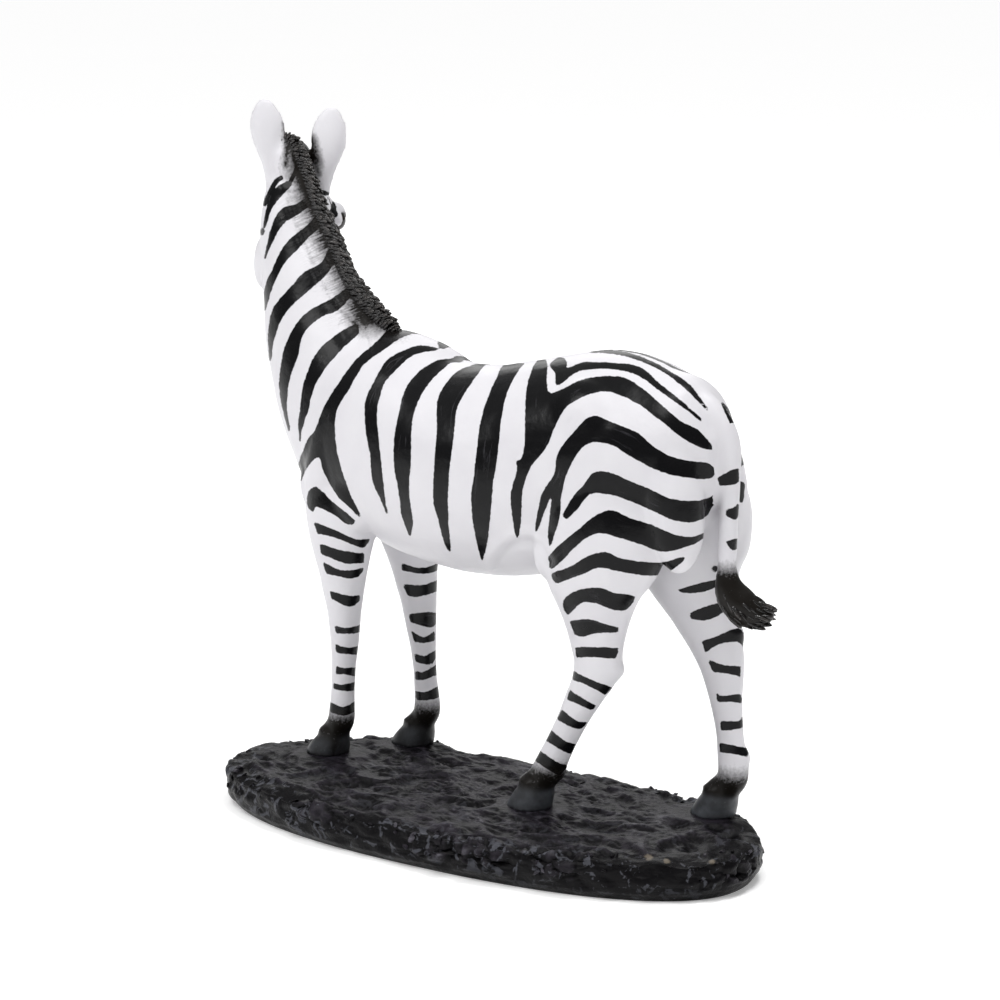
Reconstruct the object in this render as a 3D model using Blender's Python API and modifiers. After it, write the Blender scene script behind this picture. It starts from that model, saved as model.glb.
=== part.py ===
"""A cast zebra standing on a rocky oval base, heading -X, with its head turned to its right."""

import math

import bmesh
import bpy
import numpy as np
from mathutils import Vector, noise

# Driving dimensions, in metres
FIGURE_HEIGHT = 0.282  # hoof soles to ear tips
BASE_LENGTH = 0.264
BASE_WIDTH = 0.113
BASE_HEIGHT = 0.020
GLUE_GAP = 0.0003

# The figure is drawn in millimetres at this height, heading -X, with its soles at z = 0
DRAWN_HEIGHT = 282.0
STANCE = (-0.6, 13.6)  # where the middle of the zebra stands on the base, in drawn millimetres
VOXEL = 1.1
FIGURE_FACES = 8000
SIDES_ROUND = {"torso": 36, "neck": 32, "head": 28, "mane": 16, "leg": 20, "hoof": 24, "tail": 16}
BALL_RINGS = 11
BALL_SIDES = 18

# Base form
BASE_TURN = math.radians(6)  # the base's long axis lies a little askew to the zebra
BASE_SQUARENESS = 2.3
FOOT_INSET = 0.0050  # how far the underside draws in under the widest line
BASE_SIDE = ((0.94, -0.0014), (0.72, 0), (0.46, 0.0002), (0.2, -0.0016))  # share of the height, metres out
ROCK_DIP = 0.0030  # deepest hollow of the rocky top
ROCK_WAVES = ((0.55, 45, 95, 0.3), (0.45, 120, 150, 5.1))  # share, waves a metre along and across, seed
RIM_DROP = 0.0014
RIM_CURVE = 8  # how late toward the rim the drop sets in
LUMP = 0.0022  # stones standing out of the side
STONE_PITCH = 110  # stones a metre round the side
PAD_MARGIN = 0.0040  # level ground round each hoof
PAD_BLEND = 0.0080  # from the level ground to the full depth of the rock
BASE_SIDES = 72
TOP_SHARES = (0.14, 0.28, 0.42, 0.56, 0.68, 0.79, 0.88, 0.95)

# Torso: x, middle height, half width, up to the back, down to the belly
TORSO = (
    (-110, 127, 6, 8, 9),
    (-106, 128, 14, 17, 18),
    (-97, 131, 22, 30, 31),
    (-80, 138, 28, 45, 40),
    (-60, 142, 31.5, 48, 46),
    (-35, 138, 35, 43.5, 46),
    (-6, 136.5, 37, 44.5, 45),
    (22, 140, 36.5, 46, 43),
    (48, 148, 35, 44.5, 42),
    (72, 153, 33, 43, 40),
    (92, 156, 28.5, 35.5, 34),
    (107, 157, 20, 26, 26),
    (114, 157, 8, 12, 13),
)

# Neck, from the poll down: x, y, z, half width, out to the crest, out to the throat
NECK = (
    (-134, 10.5, 243, 10.5, 10, 13),
    (-131, 9, 233, 12.5, 14, 17),
    (-126, 6.5, 219, 13.5, 19, 20),
    (-118, 3, 201, 15, 24, 23.5),
    (-109, 0.5, 181, 18, 30, 28),
    (-96, 0, 161, 23, 41, 34),
    (-81, 0, 143, 26, 47, 38),
)

# Head, along its own axis from the poll: distance, half width, up to the forehead, down to the jaw
HEAD = (
    (-9, 6, 5, 7),
    (-4, 11, 9, 14),
    (8, 13.5, 11, 22),
    (20, 15, 12, 29),
    (32, 13.5, 11, 28),
    (45, 10.5, 9, 18),
    (57, 9, 8, 13.5),
    (67, 9.6, 8.5, 12.5),
    (75, 8.6, 7, 11),
    (80, 4.5, 3, 6),
)
# Lumps on both sides of the head: along the face, out of its forehead, to the side, then half sizes
HEAD_LUMPS = {
    "cheek": (27, -22, 9.5, 15, 7, 14),
    "socket": (23, 4.5, 13.5, 6.5, 4, 5),
    "nostril": (70, 1, 6, 5, 4, 4.5),
}
CROWN_HEIGHT = 10
CROWN_HALF_SIZES = (8, 9, 12)
POLL = (-132, 11, 244)
HEAD_YAW = math.radians(60)  # to the zebra's right, from straight ahead
HEAD_PITCH = math.radians(42)
HEAD_ROLL = math.radians(9)  # its crown leans to its right

# Ear, from its root: distance, half width, depth of its back, wall
EAR = (
    (0, 4.2, 4.2, 3.4),
    (8, 4.4, 4.6, 3),
    (13, 5.4, 4.8, 2.6),
    (18, 6.9, 5, 2.3),
    (23, 8, 4.8, 2.1),
    (28, 8.1, 4.3, 2),
    (33, 6.7, 3.4, 1.9),
    (37, 4.3, 2.5, 1.8),
    (39.5, 1.8, 1.8, 1.7),
)
EAR_APART = 10.8  # from the middle of the crown
EAR_SHIFT = -1.8
EAR_SINK = -1.0
EAR_SPLAY = 0.14
EAR_EDGE = 0.8
EAR_POINTS = 13

# Mane, along the crest from the forelock: x, y, z, height over the crest
MANE = (
    (-138, 13, 256, 8),
    (-131, 11, 259, 11),
    (-122, 8.5, 252, 9),
    (-113, 6, 239, 8.5),
    (-103, 3.5, 223, 9.5),
    (-93, 1.5, 208, 12.2),
    (-83, 0, 197, 13),
    (-73, 0, 190.5, 11.5),
    (-64, 0, 188, 5),
    (-59, 0, 187, 1.5),
)
MANE_HALF_WIDTH = 3.8
MANE_ROOT = 5  # how deep the ridge sits in the crest
MANE_ENDS = (5, 8)  # how far its two ends take to come to full size
MANE_TIPS = (0.35, 0.25)  # share of the full size at the two ends
LOCK_SPACING = 6.0
LOCK_SWELL = 1.1

# Leg forms: place between the joints (0 top, 1 elbow or stifle, 2 knee or hock, 3 fetlock, 4 coronet),
# then half width, out to the rear, out to the front
FORE_FORM = (
    (0.0, 7, 12, 12),
    (0.25, 10.5, 19, 19),
    (0.6, 12, 21, 20),
    (1.0, 11.5, 16, 16),
    (1.4, 9, 11, 11),
    (1.75, 7.4, 7.8, 8),
    (2.0, 6.6, 6.6, 7.2),
    (2.25, 5.4, 5.6, 5.8),
    (2.6, 5, 5.1, 5.2),
    (3.0, 5.8, 6.2, 6),
    (3.5, 5.6, 5.6, 5.8),
    (4.0, 6.6, 6.4, 7),
)
HIND_FORM = (
    (0.0, 8, 15, 15),
    (0.2, 14, 26, 26),
    (0.5, 18, 33, 32),
    (0.75, 18, 31, 31),
    (1.0, 15.5, 25, 25),
    (1.35, 11.5, 17, 17),
    (1.7, 8.8, 12.5, 12.5),
    (2.0, 7.2, 11, 10.5),
    (2.25, 5.8, 7.8, 8),
    (2.6, 5, 6, 6.2),
    (3.0, 6, 6.8, 6.8),
    (3.5, 5.8, 6.2, 6.4),
    (4.0, 7.4, 6.8, 7.8),
)

# Each leg's form and its joints from the top down to the coronet
LEGS = {
    "left_fore": (
        FORE_FORM,
        ((-80, -15, 132), (-79.5, -16.5, 98), (-79.5, -15, 55), (-82, -15, 16), (-86.5, -15, 8)),
    ),
    "right_fore": (
        FORE_FORM,
        ((-75, 15, 132), (-70, 17.5, 96), (-66, 20, 54), (-63, 20.5, 16), (-68, 20.5, 8)),
    ),
    "left_hind": (
        HIND_FORM,
        ((74, -16, 160), (65, -19, 104), (66, -18, 66), (38.5, -17, 17), (33, -17, 9)),
    ),
    "right_hind": (
        HIND_FORM,
        ((80, 16, 160), (84, 20, 104), (98.5, 23.5, 65), (104.5, 25, 18), (98, 25, 9)),
    ),
}
LEG_RINGS = 45
JOINT_ROUNDING = 3  # passes that round the path at the joints
FORM_ROUNDING = 2
HOOF_TOE = 11.5
HOOF_HEEL = 8.5
HOOF_HALF_WIDTH = 9.3
HOOF_LEAN = 3.2  # how far forward the sole stands of the coronet
HOOF = ((-0.35, 0.12), (0, 0.12), (0.12, 0.25), (0.5, 0.67), (1, 1), (1.12, 1))  # share of drop, of flare

# Tail, from its root down to the flick of its tuft: x, y, z, half thickness
TAIL = (
    (98, 0, 181, 6),
    (108, 0.5, 177, 5.4),
    (115.3, 2, 167, 5),
    (116.5, 2.8, 150, 4.6),
    (116, 3, 125, 3.9),
    (115.5, 3.5, 111, 4),
    (116, 4.2, 104, 5.8),
    (119, 6.5, 98, 7.2),
    (123.5, 9.8, 94, 6.2),
    (128.5, 12.8, 93, 4),
    (131.5, 14.3, 93.5, 1.4),
)

# Muscles that swell out of both flanks: x, distance from the middle, z, then half length, half depth,
# half height and lean back of the top in degrees
SWELLS = (
    (-80, 19.5, 141, 13, 9, 36, 18),
    (-94, 13, 120, 10, 9.5, 15, 0),
    (-66, 20.5, 120, 15, 8, 16, -20),
    (62, 19, 160, 27, 13.5, 27, 30),
    (101, 14, 143, 13, 12.5, 32, -8),
)
STIFLES = ((49, -25, 114), (69, 25, 114))
STIFLE_HALF_SIZES = (10, 8, 13)


def smooth_rows(rows, steps):
    """Rows of numbers, with `steps` smooth rows from each to the next."""
    rows = np.array(rows, float)
    spans = np.linalg.norm(np.diff(rows[:, :3], axis=0), axis=1) + 1e-6
    place = np.concatenate([[0], np.cumsum(spans)])
    slopes = np.gradient(rows, place, axis=0)
    found = []
    for i, span in enumerate(spans):
        for t in np.arange(steps) / steps:
            found.append(
                (2 * t**3 - 3 * t**2 + 1) * rows[i]
                + (t**3 - 2 * t**2 + t) * span * slopes[i]
                + (3 * t**2 - 2 * t**3) * rows[i + 1]
                + (t**3 - t**2) * span * slopes[i + 1]
            )
    return np.array(found + [rows[-1]])


def unit(vector):
    return vector / np.linalg.norm(vector)


class Form:
    """Closed shells that overlap, gathered to be fused into one skin."""

    def __init__(self):
        self.points = []
        self.faces = []

    def add_rings(self, rings):
        """A closed shell through rings of equal counts of points, capped at both ends."""
        start = len(self.points)
        count = len(rings[0])
        for ring in rings:
            self.points.extend(tuple(point) for point in ring)
        for row in range(len(rings) - 1):
            for i in range(count):
                j = (i + 1) % count
                low = start + row * count
                high = low + count
                self.faces.append((low + i, low + j, high + j, high + i))
        self.faces.append(tuple(start + i for i in reversed(range(count))))
        self.faces.append(tuple(start + (len(rings) - 1) * count + i for i in range(count)))

    def add_loft(self, centres, sides, side_axis, count):
        """Ovals round a path. `sides` holds half width, upper and lower half depth for each centre."""
        centres = np.array(centres, float)
        along = np.gradient(centres, axis=0)
        rings = []
        for centre, direction, (half, upper, lower) in zip(centres, along, sides):
            direction = unit(direction)
            across = unit(np.array(side_axis) - direction * np.dot(side_axis, direction))
            up = np.cross(direction, across)
            ring = []
            for turn in np.arange(count) * 2 * math.pi / count:
                depth = upper if math.sin(turn) > 0 else lower
                ring.append(centre + across * half * math.cos(turn) + up * depth * math.sin(turn))
            rings.append(ring)
        self.add_rings(rings)

    def add_ball(self, centre, axes, radii):
        """An ellipsoid on three unit axes."""
        rings = []
        for tilt in np.linspace(0.08, math.pi - 0.08, BALL_RINGS):
            ring = []
            for turn in np.arange(BALL_SIDES) * 2 * math.pi / BALL_SIDES:
                local = (math.sin(tilt) * math.cos(turn), math.sin(tilt) * math.sin(turn), math.cos(tilt))
                ring.append(sum((axes[k] * radii[k] * local[k] for k in range(3)), np.array(centre, float)))
            rings.append(ring)
        self.add_rings(rings)


def head_axes():
    """Down the face, to the head's left, and out of its forehead."""
    level = np.array((-math.cos(HEAD_YAW), math.sin(HEAD_YAW), 0))
    down = np.array((0, 0, -1.0))
    face = level * math.cos(HEAD_PITCH) + down * math.sin(HEAD_PITCH)
    side = np.array((-level[1], level[0], 0))
    left = side * math.cos(HEAD_ROLL) + np.cross(face, side) * math.sin(HEAD_ROLL)
    return face, left, np.cross(face, left)


def add_torso(form):
    rows = smooth_rows([(x, 0, z, half, up, down) for x, z, half, up, down in TORSO], 4)
    form.add_loft(rows[:, :3], rows[:, 3:], (0, 1, 0), SIDES_ROUND["torso"])


def add_neck(form):
    rows = smooth_rows(NECK, 5)
    form.add_loft(rows[:, :3], rows[:, 3:], (0, 1, 0), SIDES_ROUND["neck"])


def add_head(form):
    face, left, brow = head_axes()
    rows = smooth_rows([(t, 0, 0, half, up, down) for t, half, up, down in HEAD], 4)
    centres = [np.array(POLL) + face * row[0] for row in rows]
    form.add_loft(centres, rows[:, 3:], left, SIDES_ROUND["head"])
    form.add_ball(np.array(POLL) + (0, 0, CROWN_HEIGHT), np.eye(3), CROWN_HALF_SIZES)
    for along, out, aside, *half_sizes in HEAD_LUMPS.values():
        for side in (-1, 1):
            middle = np.array(POLL) + face * along + brow * out + left * side * aside
            form.add_ball(middle, (face, left, brow), half_sizes)


def add_ear(form, side):
    """A leaf with a hollow front, leaning out a little."""
    face, left, brow = head_axes()
    root = np.array(POLL) + left * (side * EAR_APART + EAR_SHIFT) + np.array((0, 0, EAR_SINK))
    rise = unit(np.array((0, 0, 1.0)) + left * side * EAR_SPLAY)
    level = np.array((-math.cos(HEAD_YAW), math.sin(HEAD_YAW), 0))
    back = unit(-level - rise * np.dot(-level, rise))
    across = np.cross(rise, back)
    rows = smooth_rows([(t, 0, 0, half, depth, wall) for t, half, depth, wall in EAR], 4)
    rings = []
    for t, _, _, half, depth, wall in rows:
        centre = root + rise * t
        outer = [
            centre - across * half * math.cos(a) + back * depth * math.sin(a)
            for a in np.linspace(0, math.pi, EAR_POINTS)
        ]
        inner = [
            centre
            + across * (half - EAR_EDGE) * math.cos(a)
            + back * ((depth - wall) * math.sin(a) - EAR_EDGE)
            for a in np.linspace(0, math.pi, EAR_POINTS)
        ]
        rings.append(outer + inner)
    form.add_rings(rings)


def add_mane(form):
    """An upright ridge whose width and height swell with each lock of hair."""
    rows = smooth_rows(MANE, 12)
    length = np.concatenate([[0], np.cumsum(np.linalg.norm(np.diff(rows[:, :3], axis=0), axis=1))])
    swell = LOCK_SWELL * np.sin(length * 2 * math.pi / LOCK_SPACING)
    front = np.clip(length / MANE_ENDS[0], MANE_TIPS[0], 1)
    taper = front * np.clip((length[-1] - length) / MANE_ENDS[1], MANE_TIPS[1], 1)
    sides = [
        ((MANE_HALF_WIDTH + 0.5 * bump) * thin, height + bump * thin, MANE_ROOT)
        for height, bump, thin in zip(rows[:, 3], swell, taper)
    ]
    form.add_loft(rows[:, :3], sides, (0, 1, 0), SIDES_ROUND["mane"])


def add_leg(form, leg_form, joints):
    count = len(joints) - 1
    places = np.array([row[0] for row in leg_form])
    station = np.linspace(0, count, LEG_RINGS)
    centres = np.array([np.interp(station, range(count + 1), axis) for axis in zip(*joints)]).T
    for _ in range(JOINT_ROUNDING):
        centres[1:-1] = (centres[:-2] + 2 * centres[1:-1] + centres[2:]) / 4
    sides = np.array([np.interp(station, places, [row[k] for row in leg_form]) for k in (1, 2, 3)]).T
    for _ in range(FORM_ROUNDING):
        sides[1:-1] = (sides[:-2] + 2 * sides[1:-1] + sides[2:]) / 4
    form.add_loft(centres, sides, (0, 1, 0), SIDES_ROUND["leg"])
    add_hoof(form, np.array(joints[-1], float), sides[-1])


def add_hoof(form, coronet, sides):
    """A hoof that widens down to its sole and leans forward; the ground cuts it flat later."""
    rings = []
    for share, grow in HOOF:
        centre = coronet * (1, 1, 1 - share)
        centre[0] -= HOOF_LEAN * max(share, 0)
        half = sides[0] + (HOOF_HALF_WIDTH - sides[0]) * grow
        heel = sides[1] + (HOOF_HEEL - sides[1]) * grow
        toe = sides[2] + (HOOF_TOE - sides[2]) * grow
        ring = []
        for turn in np.arange(SIDES_ROUND["hoof"]) * 2 * math.pi / SIDES_ROUND["hoof"]:
            reach = heel if math.cos(turn) > 0 else toe
            ring.append(centre + np.array((reach * math.cos(turn), half * math.sin(turn), 0)))
        rings.append(ring)
    form.add_rings(rings)


def add_muscles(form):
    for x, out, z, half_length, half_depth, half_height, lean in SWELLS:
        turn = math.radians(lean)
        axes = (
            np.array((math.cos(turn), 0, -math.sin(turn))),
            np.array((0, 1.0, 0)),
            np.array((math.sin(turn), 0, math.cos(turn))),
        )
        for side in (-1, 1):
            form.add_ball((x, out * side, z), axes, (half_length, half_depth, half_height))
    for stifle in STIFLES:
        form.add_ball(stifle, np.eye(3), STIFLE_HALF_SIZES)


def add_tail(form):
    rows = smooth_rows(TAIL, 5)
    form.add_loft(rows[:, :3], [(r, r, r) for r in rows[:, 3]], (0, 1, 0), SIDES_ROUND["tail"])


def gather_figure():
    form = Form()
    add_torso(form)
    add_neck(form)
    add_head(form)
    add_ear(form, -1)
    add_ear(form, 1)
    add_mane(form)
    for leg_form, joints in LEGS.values():
        add_leg(form, leg_form, joints)
    add_muscles(form)
    add_tail(form)
    return form


def new_material(name, color, roughness):
    material = bpy.data.materials.new(name)
    material.use_nodes = True
    shader = material.node_tree.nodes["Principled BSDF"]
    shader.inputs["Base Color"].default_value = (*color, 1)
    shader.inputs["Roughness"].default_value = roughness
    return material


def new_object(name, points, faces, collection, material=None):
    mesh = bpy.data.meshes.new(name)
    mesh.from_pydata([tuple(point) for point in points], [], faces)
    work = bmesh.new()
    work.from_mesh(mesh)
    bmesh.ops.recalc_face_normals(work, faces=work.faces)
    work.to_mesh(mesh)
    work.free()
    if material:
        mesh.materials.append(material)
    made = bpy.data.objects.new(name, mesh)
    collection.objects.link(made)
    return made


def stand(points):
    """Drawn millimetres to metres on top of the base."""
    scale = FIGURE_HEIGHT / DRAWN_HEIGHT
    shift = np.array((STANCE[0] * scale, STANCE[1] * scale, BASE_HEIGHT + GLUE_GAP))
    return np.array(points) * scale + shift


def fused_mesh(source, voxel, faces):
    """One closed skin round the shells of an object, with about this many triangles."""
    remesh = source.modifiers.new("Fuse", "REMESH")
    remesh.mode = "VOXEL"
    remesh.voxel_size = voxel
    smooth = source.modifiers.new("Soften", "SMOOTH")
    smooth.factor = 0.5
    smooth.iterations = 4
    graph = bpy.context.evaluated_depsgraph_get()
    dense = len(source.evaluated_get(graph).data.polygons) * 2
    decimate = source.modifiers.new("Thin", "DECIMATE")
    decimate.ratio = faces / dense
    graph = bpy.context.evaluated_depsgraph_get()
    return bpy.data.meshes.new_from_object(source.evaluated_get(graph))


def cut_soles(mesh, height):
    """Cuts the hooves flat where they meet the base."""
    work = bmesh.new()
    work.from_mesh(mesh)
    geometry = work.verts[:] + work.edges[:] + work.faces[:]
    bmesh.ops.bisect_plane(
        work, geom=geometry, plane_co=(0, 0, height), plane_no=(0, 0, 1), clear_inner=True, dist=1e-5
    )
    rim = [edge for edge in work.edges if edge.is_boundary]
    bmesh.ops.holes_fill(work, edges=rim, sides=0)
    bmesh.ops.triangulate(work, faces=work.faces[:])
    work.to_mesh(mesh)
    work.free()


def make_figure(collection):
    form = gather_figure()
    draft = new_object("zebra_draft", stand(form.points), form.faces, collection)
    scale = FIGURE_HEIGHT / DRAWN_HEIGHT
    mesh = fused_mesh(draft, VOXEL * scale, FIGURE_FACES)
    bpy.data.objects.remove(draft)
    cut_soles(mesh, BASE_HEIGHT + GLUE_GAP)
    mesh.materials.clear()
    mesh.materials.append(new_material("satin white paint", (0.83, 0.82, 0.84), 0.38))
    figure = bpy.data.objects.new("zebra_figure", mesh)
    collection.objects.link(figure)
    return figure


def hoof_centres():
    """Middle of each sole on the ground, in metres."""
    coronets = [joints[-1] for _, joints in LEGS.values()]
    middles = [(x - HOOF_LEAN - (HOOF_TOE - HOOF_HEEL) / 2, y, 0) for x, y, _ in coronets]
    return stand(middles)[:, :2]


def base_outline(turn, share=1.0, grow=0.0):
    """A point of the oval outline, or of a smaller one inside it."""
    power = 2 / BASE_SQUARENESS
    x = (BASE_LENGTH / 2 * share + grow) * math.copysign(abs(math.cos(turn)) ** power, math.cos(turn))
    y = (BASE_WIDTH / 2 * share + grow) * math.copysign(abs(math.sin(turn)) ** power, math.sin(turn))
    cosine, sine = math.cos(BASE_TURN), math.sin(BASE_TURN)
    return x * cosine - y * sine, x * sine + y * cosine


def ground_dip(x, y, share):
    """How far the top lies under the soles' level: none round a hoof, more toward the rim."""
    wave = sum(
        part * noise.noise(Vector((x * along, y * across, seed)))
        for part, along, across, seed in ROCK_WAVES
    )
    rough = ROCK_DIP * min(max(0.5 + wave, 0), 1)
    pad = (HOOF_TOE + HOOF_HEEL) / 2 * FIGURE_HEIGHT / DRAWN_HEIGHT + PAD_MARGIN
    near = min(math.dist((x, y), centre) for centre in hoof_centres())
    blend = min(max((near - pad) / PAD_BLEND, 0), 1)
    return (rough + RIM_DROP * share**RIM_CURVE) * blend


def make_base(collection):
    """An oval slab with a rocky top, lumpy sides and a flat underside."""
    rings = []
    turns = [i * 2 * math.pi / BASE_SIDES for i in range(BASE_SIDES)]
    for share in TOP_SHARES:
        ring = [base_outline(turn, share) for turn in turns]
        rings.append([(x, y, BASE_HEIGHT - ground_dip(x, y, share)) for x, y in ring])
    top = BASE_HEIGHT - RIM_DROP
    for level, grow in (*BASE_SIDE, (0, -FOOT_INSET)):
        ring = []
        for turn in turns:
            x, y = base_outline(turn, 1, grow)
            stones = noise.noise(Vector((x * STONE_PITCH, y * STONE_PITCH, level * 3)))
            x, y = base_outline(turn, 1, grow + LUMP * stones * min(level * 3, 1))
            ring.append((x, y, top * level))
        rings.append(ring)
    form = Form()
    form.add_rings(rings)
    paint = new_material("satin black paint", (0.022, 0.02, 0.023), 0.42)
    return new_object("rock_base", form.points, form.faces, collection, paint)


def main():
    for old in list(bpy.data.objects):
        bpy.data.objects.remove(old)
    collection = bpy.data.collections.new("zebra_figurine")
    bpy.context.scene.collection.children.link(collection)
    make_figure(collection)
    make_base(collection)


main()
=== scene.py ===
import math

import bmesh
import bpy
import numpy as np
from mathutils import Matrix, Vector, noise


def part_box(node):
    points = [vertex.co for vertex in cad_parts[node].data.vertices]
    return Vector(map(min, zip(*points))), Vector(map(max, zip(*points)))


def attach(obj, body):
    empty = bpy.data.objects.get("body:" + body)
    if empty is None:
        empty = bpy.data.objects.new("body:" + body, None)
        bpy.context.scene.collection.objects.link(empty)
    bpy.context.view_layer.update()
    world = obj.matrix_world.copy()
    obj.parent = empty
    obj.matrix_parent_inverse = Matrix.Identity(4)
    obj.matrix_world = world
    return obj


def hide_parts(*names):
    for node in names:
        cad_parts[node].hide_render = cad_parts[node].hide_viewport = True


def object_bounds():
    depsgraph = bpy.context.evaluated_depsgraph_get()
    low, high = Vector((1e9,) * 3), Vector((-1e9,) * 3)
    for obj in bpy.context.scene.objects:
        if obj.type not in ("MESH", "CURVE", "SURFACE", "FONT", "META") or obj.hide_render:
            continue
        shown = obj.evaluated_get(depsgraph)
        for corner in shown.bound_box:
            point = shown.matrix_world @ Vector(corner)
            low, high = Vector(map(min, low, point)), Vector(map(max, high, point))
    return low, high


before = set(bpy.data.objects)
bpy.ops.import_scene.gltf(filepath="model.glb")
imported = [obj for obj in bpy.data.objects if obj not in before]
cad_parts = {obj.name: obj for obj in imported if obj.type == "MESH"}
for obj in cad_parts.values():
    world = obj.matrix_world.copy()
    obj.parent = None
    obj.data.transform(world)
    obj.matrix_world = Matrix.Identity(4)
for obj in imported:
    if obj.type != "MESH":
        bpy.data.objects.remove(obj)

noise.seed_set(11)  # or noise vectors would differ from run to run
cadBox = [list(map(float, corner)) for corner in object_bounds()]
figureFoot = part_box("zebra_figure")[0].z * 1000  # all modelling below is in millimetres
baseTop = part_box("rock_base")[1].z * 1000

# The photograph's view, which places the camera and lays the painted marks
photoView = {
    "azimuth": 41.0,  # degrees round from -Y towards +X
    "elevation": 12.5,
    "focalPixels": 3560.0,
    "imageSize": 1000.0,
    "lensPlace": (960.6, -1095.3, 469.8),
}


def viewAxes():  # right, up and back of the photograph's view
    turn = math.radians(photoView["azimuth"])
    lift = math.radians(photoView["elevation"])
    back = np.array((math.sin(turn) * math.cos(lift), -math.cos(turn) * math.cos(lift), math.sin(lift)))
    right = np.array((math.cos(turn), math.sin(turn), 0.0))
    return right, np.cross(back, right), back


def toPhoto(points):  # pixel places of points in the row frame
    right, up, back = viewAxes()
    away = points - np.array(photoView["lensPlace"])
    depth = -(away @ back)
    half = photoView["imageSize"] / 2
    across = half + photoView["focalPixels"] * (away @ right) / depth
    down = half - photoView["focalPixels"] * (away @ up) / depth
    return np.stack([across, down], 1)


def hexColour(code):  # sRGB hex to the linear colour that a shader takes
    parts = [int(code[i:i + 2], 16) / 255 for i in (1, 3, 5)]
    linear = [p / 12.92 if p <= 0.04045 else ((p + 0.055) / 1.055) ** 2.4 for p in parts]
    return (*linear, 1.0)


def addNode(tree, kind, settings=None, links=None):  # settings by property or socket, links by socket
    node = tree.nodes.new(kind)
    for name, value in (settings or {}).items():
        if isinstance(name, str) and hasattr(node, name):
            setattr(node, name, value)
        else:
            node.inputs[name].default_value = value
    for name, source in (links or {}).items():
        tree.links.new(source, node.inputs[name])
    return node


def newMaterial(name):  # an empty Principled material: its tree and its shader
    material = bpy.data.materials.new(name)
    material.use_nodes = True
    return material, material.node_tree, material.node_tree.nodes["Principled BSDF"]


def meshObject(name, points, faces, smooth=True):  # mm points as a mesh in metres, faces outwards
    mesh = bpy.data.meshes.new(name)
    mesh.from_pydata([tuple(point) for point in np.array(points) * 0.001], [], faces)
    work = bmesh.new()
    work.from_mesh(mesh)
    bmesh.ops.recalc_face_normals(work, faces=work.faces)
    work.to_mesh(mesh)
    work.free()
    made = bpy.data.objects.new(name, mesh)
    bpy.context.scene.collection.objects.link(made)
    if smooth:
        mesh.shade_smooth()
    return made


def plainMesh(source, name):  # the evaluated object as a plain mesh object, in its place
    graph = bpy.context.evaluated_depsgraph_get()
    mesh = bpy.data.meshes.new_from_object(source.evaluated_get(graph))
    mesh.name = name
    bpy.data.objects.remove(source)
    made = bpy.data.objects.new(name, mesh)
    bpy.context.scene.collection.objects.link(made)
    return made


def meshPoints(mesh):  # vertex places in mm
    places = np.zeros(len(mesh.vertices) * 3, np.float32)
    mesh.vertices.foreach_get("co", places)
    return places.reshape(-1, 3).astype(float) * 1000


def meshNormals(mesh):
    found = np.zeros(len(mesh.vertices) * 3, np.float32)
    mesh.vertex_normals.foreach_get("vector", found)
    return found.reshape(-1, 3).astype(float)


def setPoints(mesh, points):
    mesh.vertices.foreach_set("co", (points * 0.001).astype(np.float32).ravel())
    mesh.update()


def storeValues(mesh, name, values):  # one number, or one vector, for each vertex
    values = np.array(values, np.float32)
    if values.ndim == 1:
        mesh.attributes.new(name, "FLOAT", "POINT").data.foreach_set("value", values)
    else:
        mesh.attributes.new(name, "FLOAT_VECTOR", "POINT").data.foreach_set("vector", values.ravel())


def ramp(values, low, high):  # smooth step from 0 at low to 1 at high
    share = np.clip((values - low) / (high - low), 0, 1)
    return share * share * (3 - 2 * share)


def curvePoint(t, start, startSlope, end, endSlope, span=1.0):  # on a smooth curve between two points
    return (
        (2 * t**3 - 3 * t**2 + 1) * start
        + (t**3 - 2 * t**2 + t) * span * startSlope
        + (3 * t**2 - 2 * t**3) * end
        + (t**3 - t**2) * span * endSlope
    )


def smoothRows(rows, steps):  # rows of numbers with smooth rows between them
    rows = np.array(rows, float)
    spans = np.linalg.norm(np.diff(rows[:, :3], axis=0), axis=1) + 1e-6
    place = np.concatenate([[0], np.cumsum(spans)])
    slopes = np.gradient(rows, place, axis=0)
    found = []
    for i, span in enumerate(spans):
        for t in np.arange(steps) / steps:
            found.append(curvePoint(t, rows[i], slopes[i], rows[i + 1], slopes[i + 1], span))
    return np.array(found + [rows[-1]])


def pathLength(rows):  # how far along the path each row lies
    steps = np.linalg.norm(np.diff(rows[:, :3], axis=0), axis=1)
    return np.concatenate([[0], np.cumsum(steps)])


def unit(vector):
    return vector / np.linalg.norm(vector)


def pathDistance(places, path):  # of 2-D places: distance from a path, side of it and how far along
    path = np.array(path, float)
    best = np.full(len(places), 1e9)
    side = np.zeros(len(places))
    along = np.zeros(len(places))
    done = 0.0
    for start, end in zip(path[:-1], path[1:]):
        step = end - start
        length = max(math.hypot(*step), 1e-6)
        rel = places - start
        t = np.clip(rel @ step / length**2, 0, 1)
        off = rel - t[:, None] * step
        reach = np.hypot(off[:, 0], off[:, 1])
        nearer = reach < best
        best = np.where(nearer, reach, best)
        side = np.where(nearer, np.sign(step[0] * rel[:, 1] - step[1] * rel[:, 0]), side)
        along = np.where(nearer, done + t * length, along)
        done += length
    return best, side, along


def insideOutline(places, outline):
    inside = np.zeros(len(places), bool)
    for start, end in zip(outline, np.roll(outline, -1, axis=0)):
        crosses = (start[1] > places[:, 1]) != (end[1] > places[:, 1])
        drop = end[1] - start[1]
        reach = start[0] + (places[:, 1] - start[1]) * (end[0] - start[0]) / (drop if drop else 1e-9)
        inside ^= crosses & (places[:, 0] < reach)
    return inside


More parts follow.
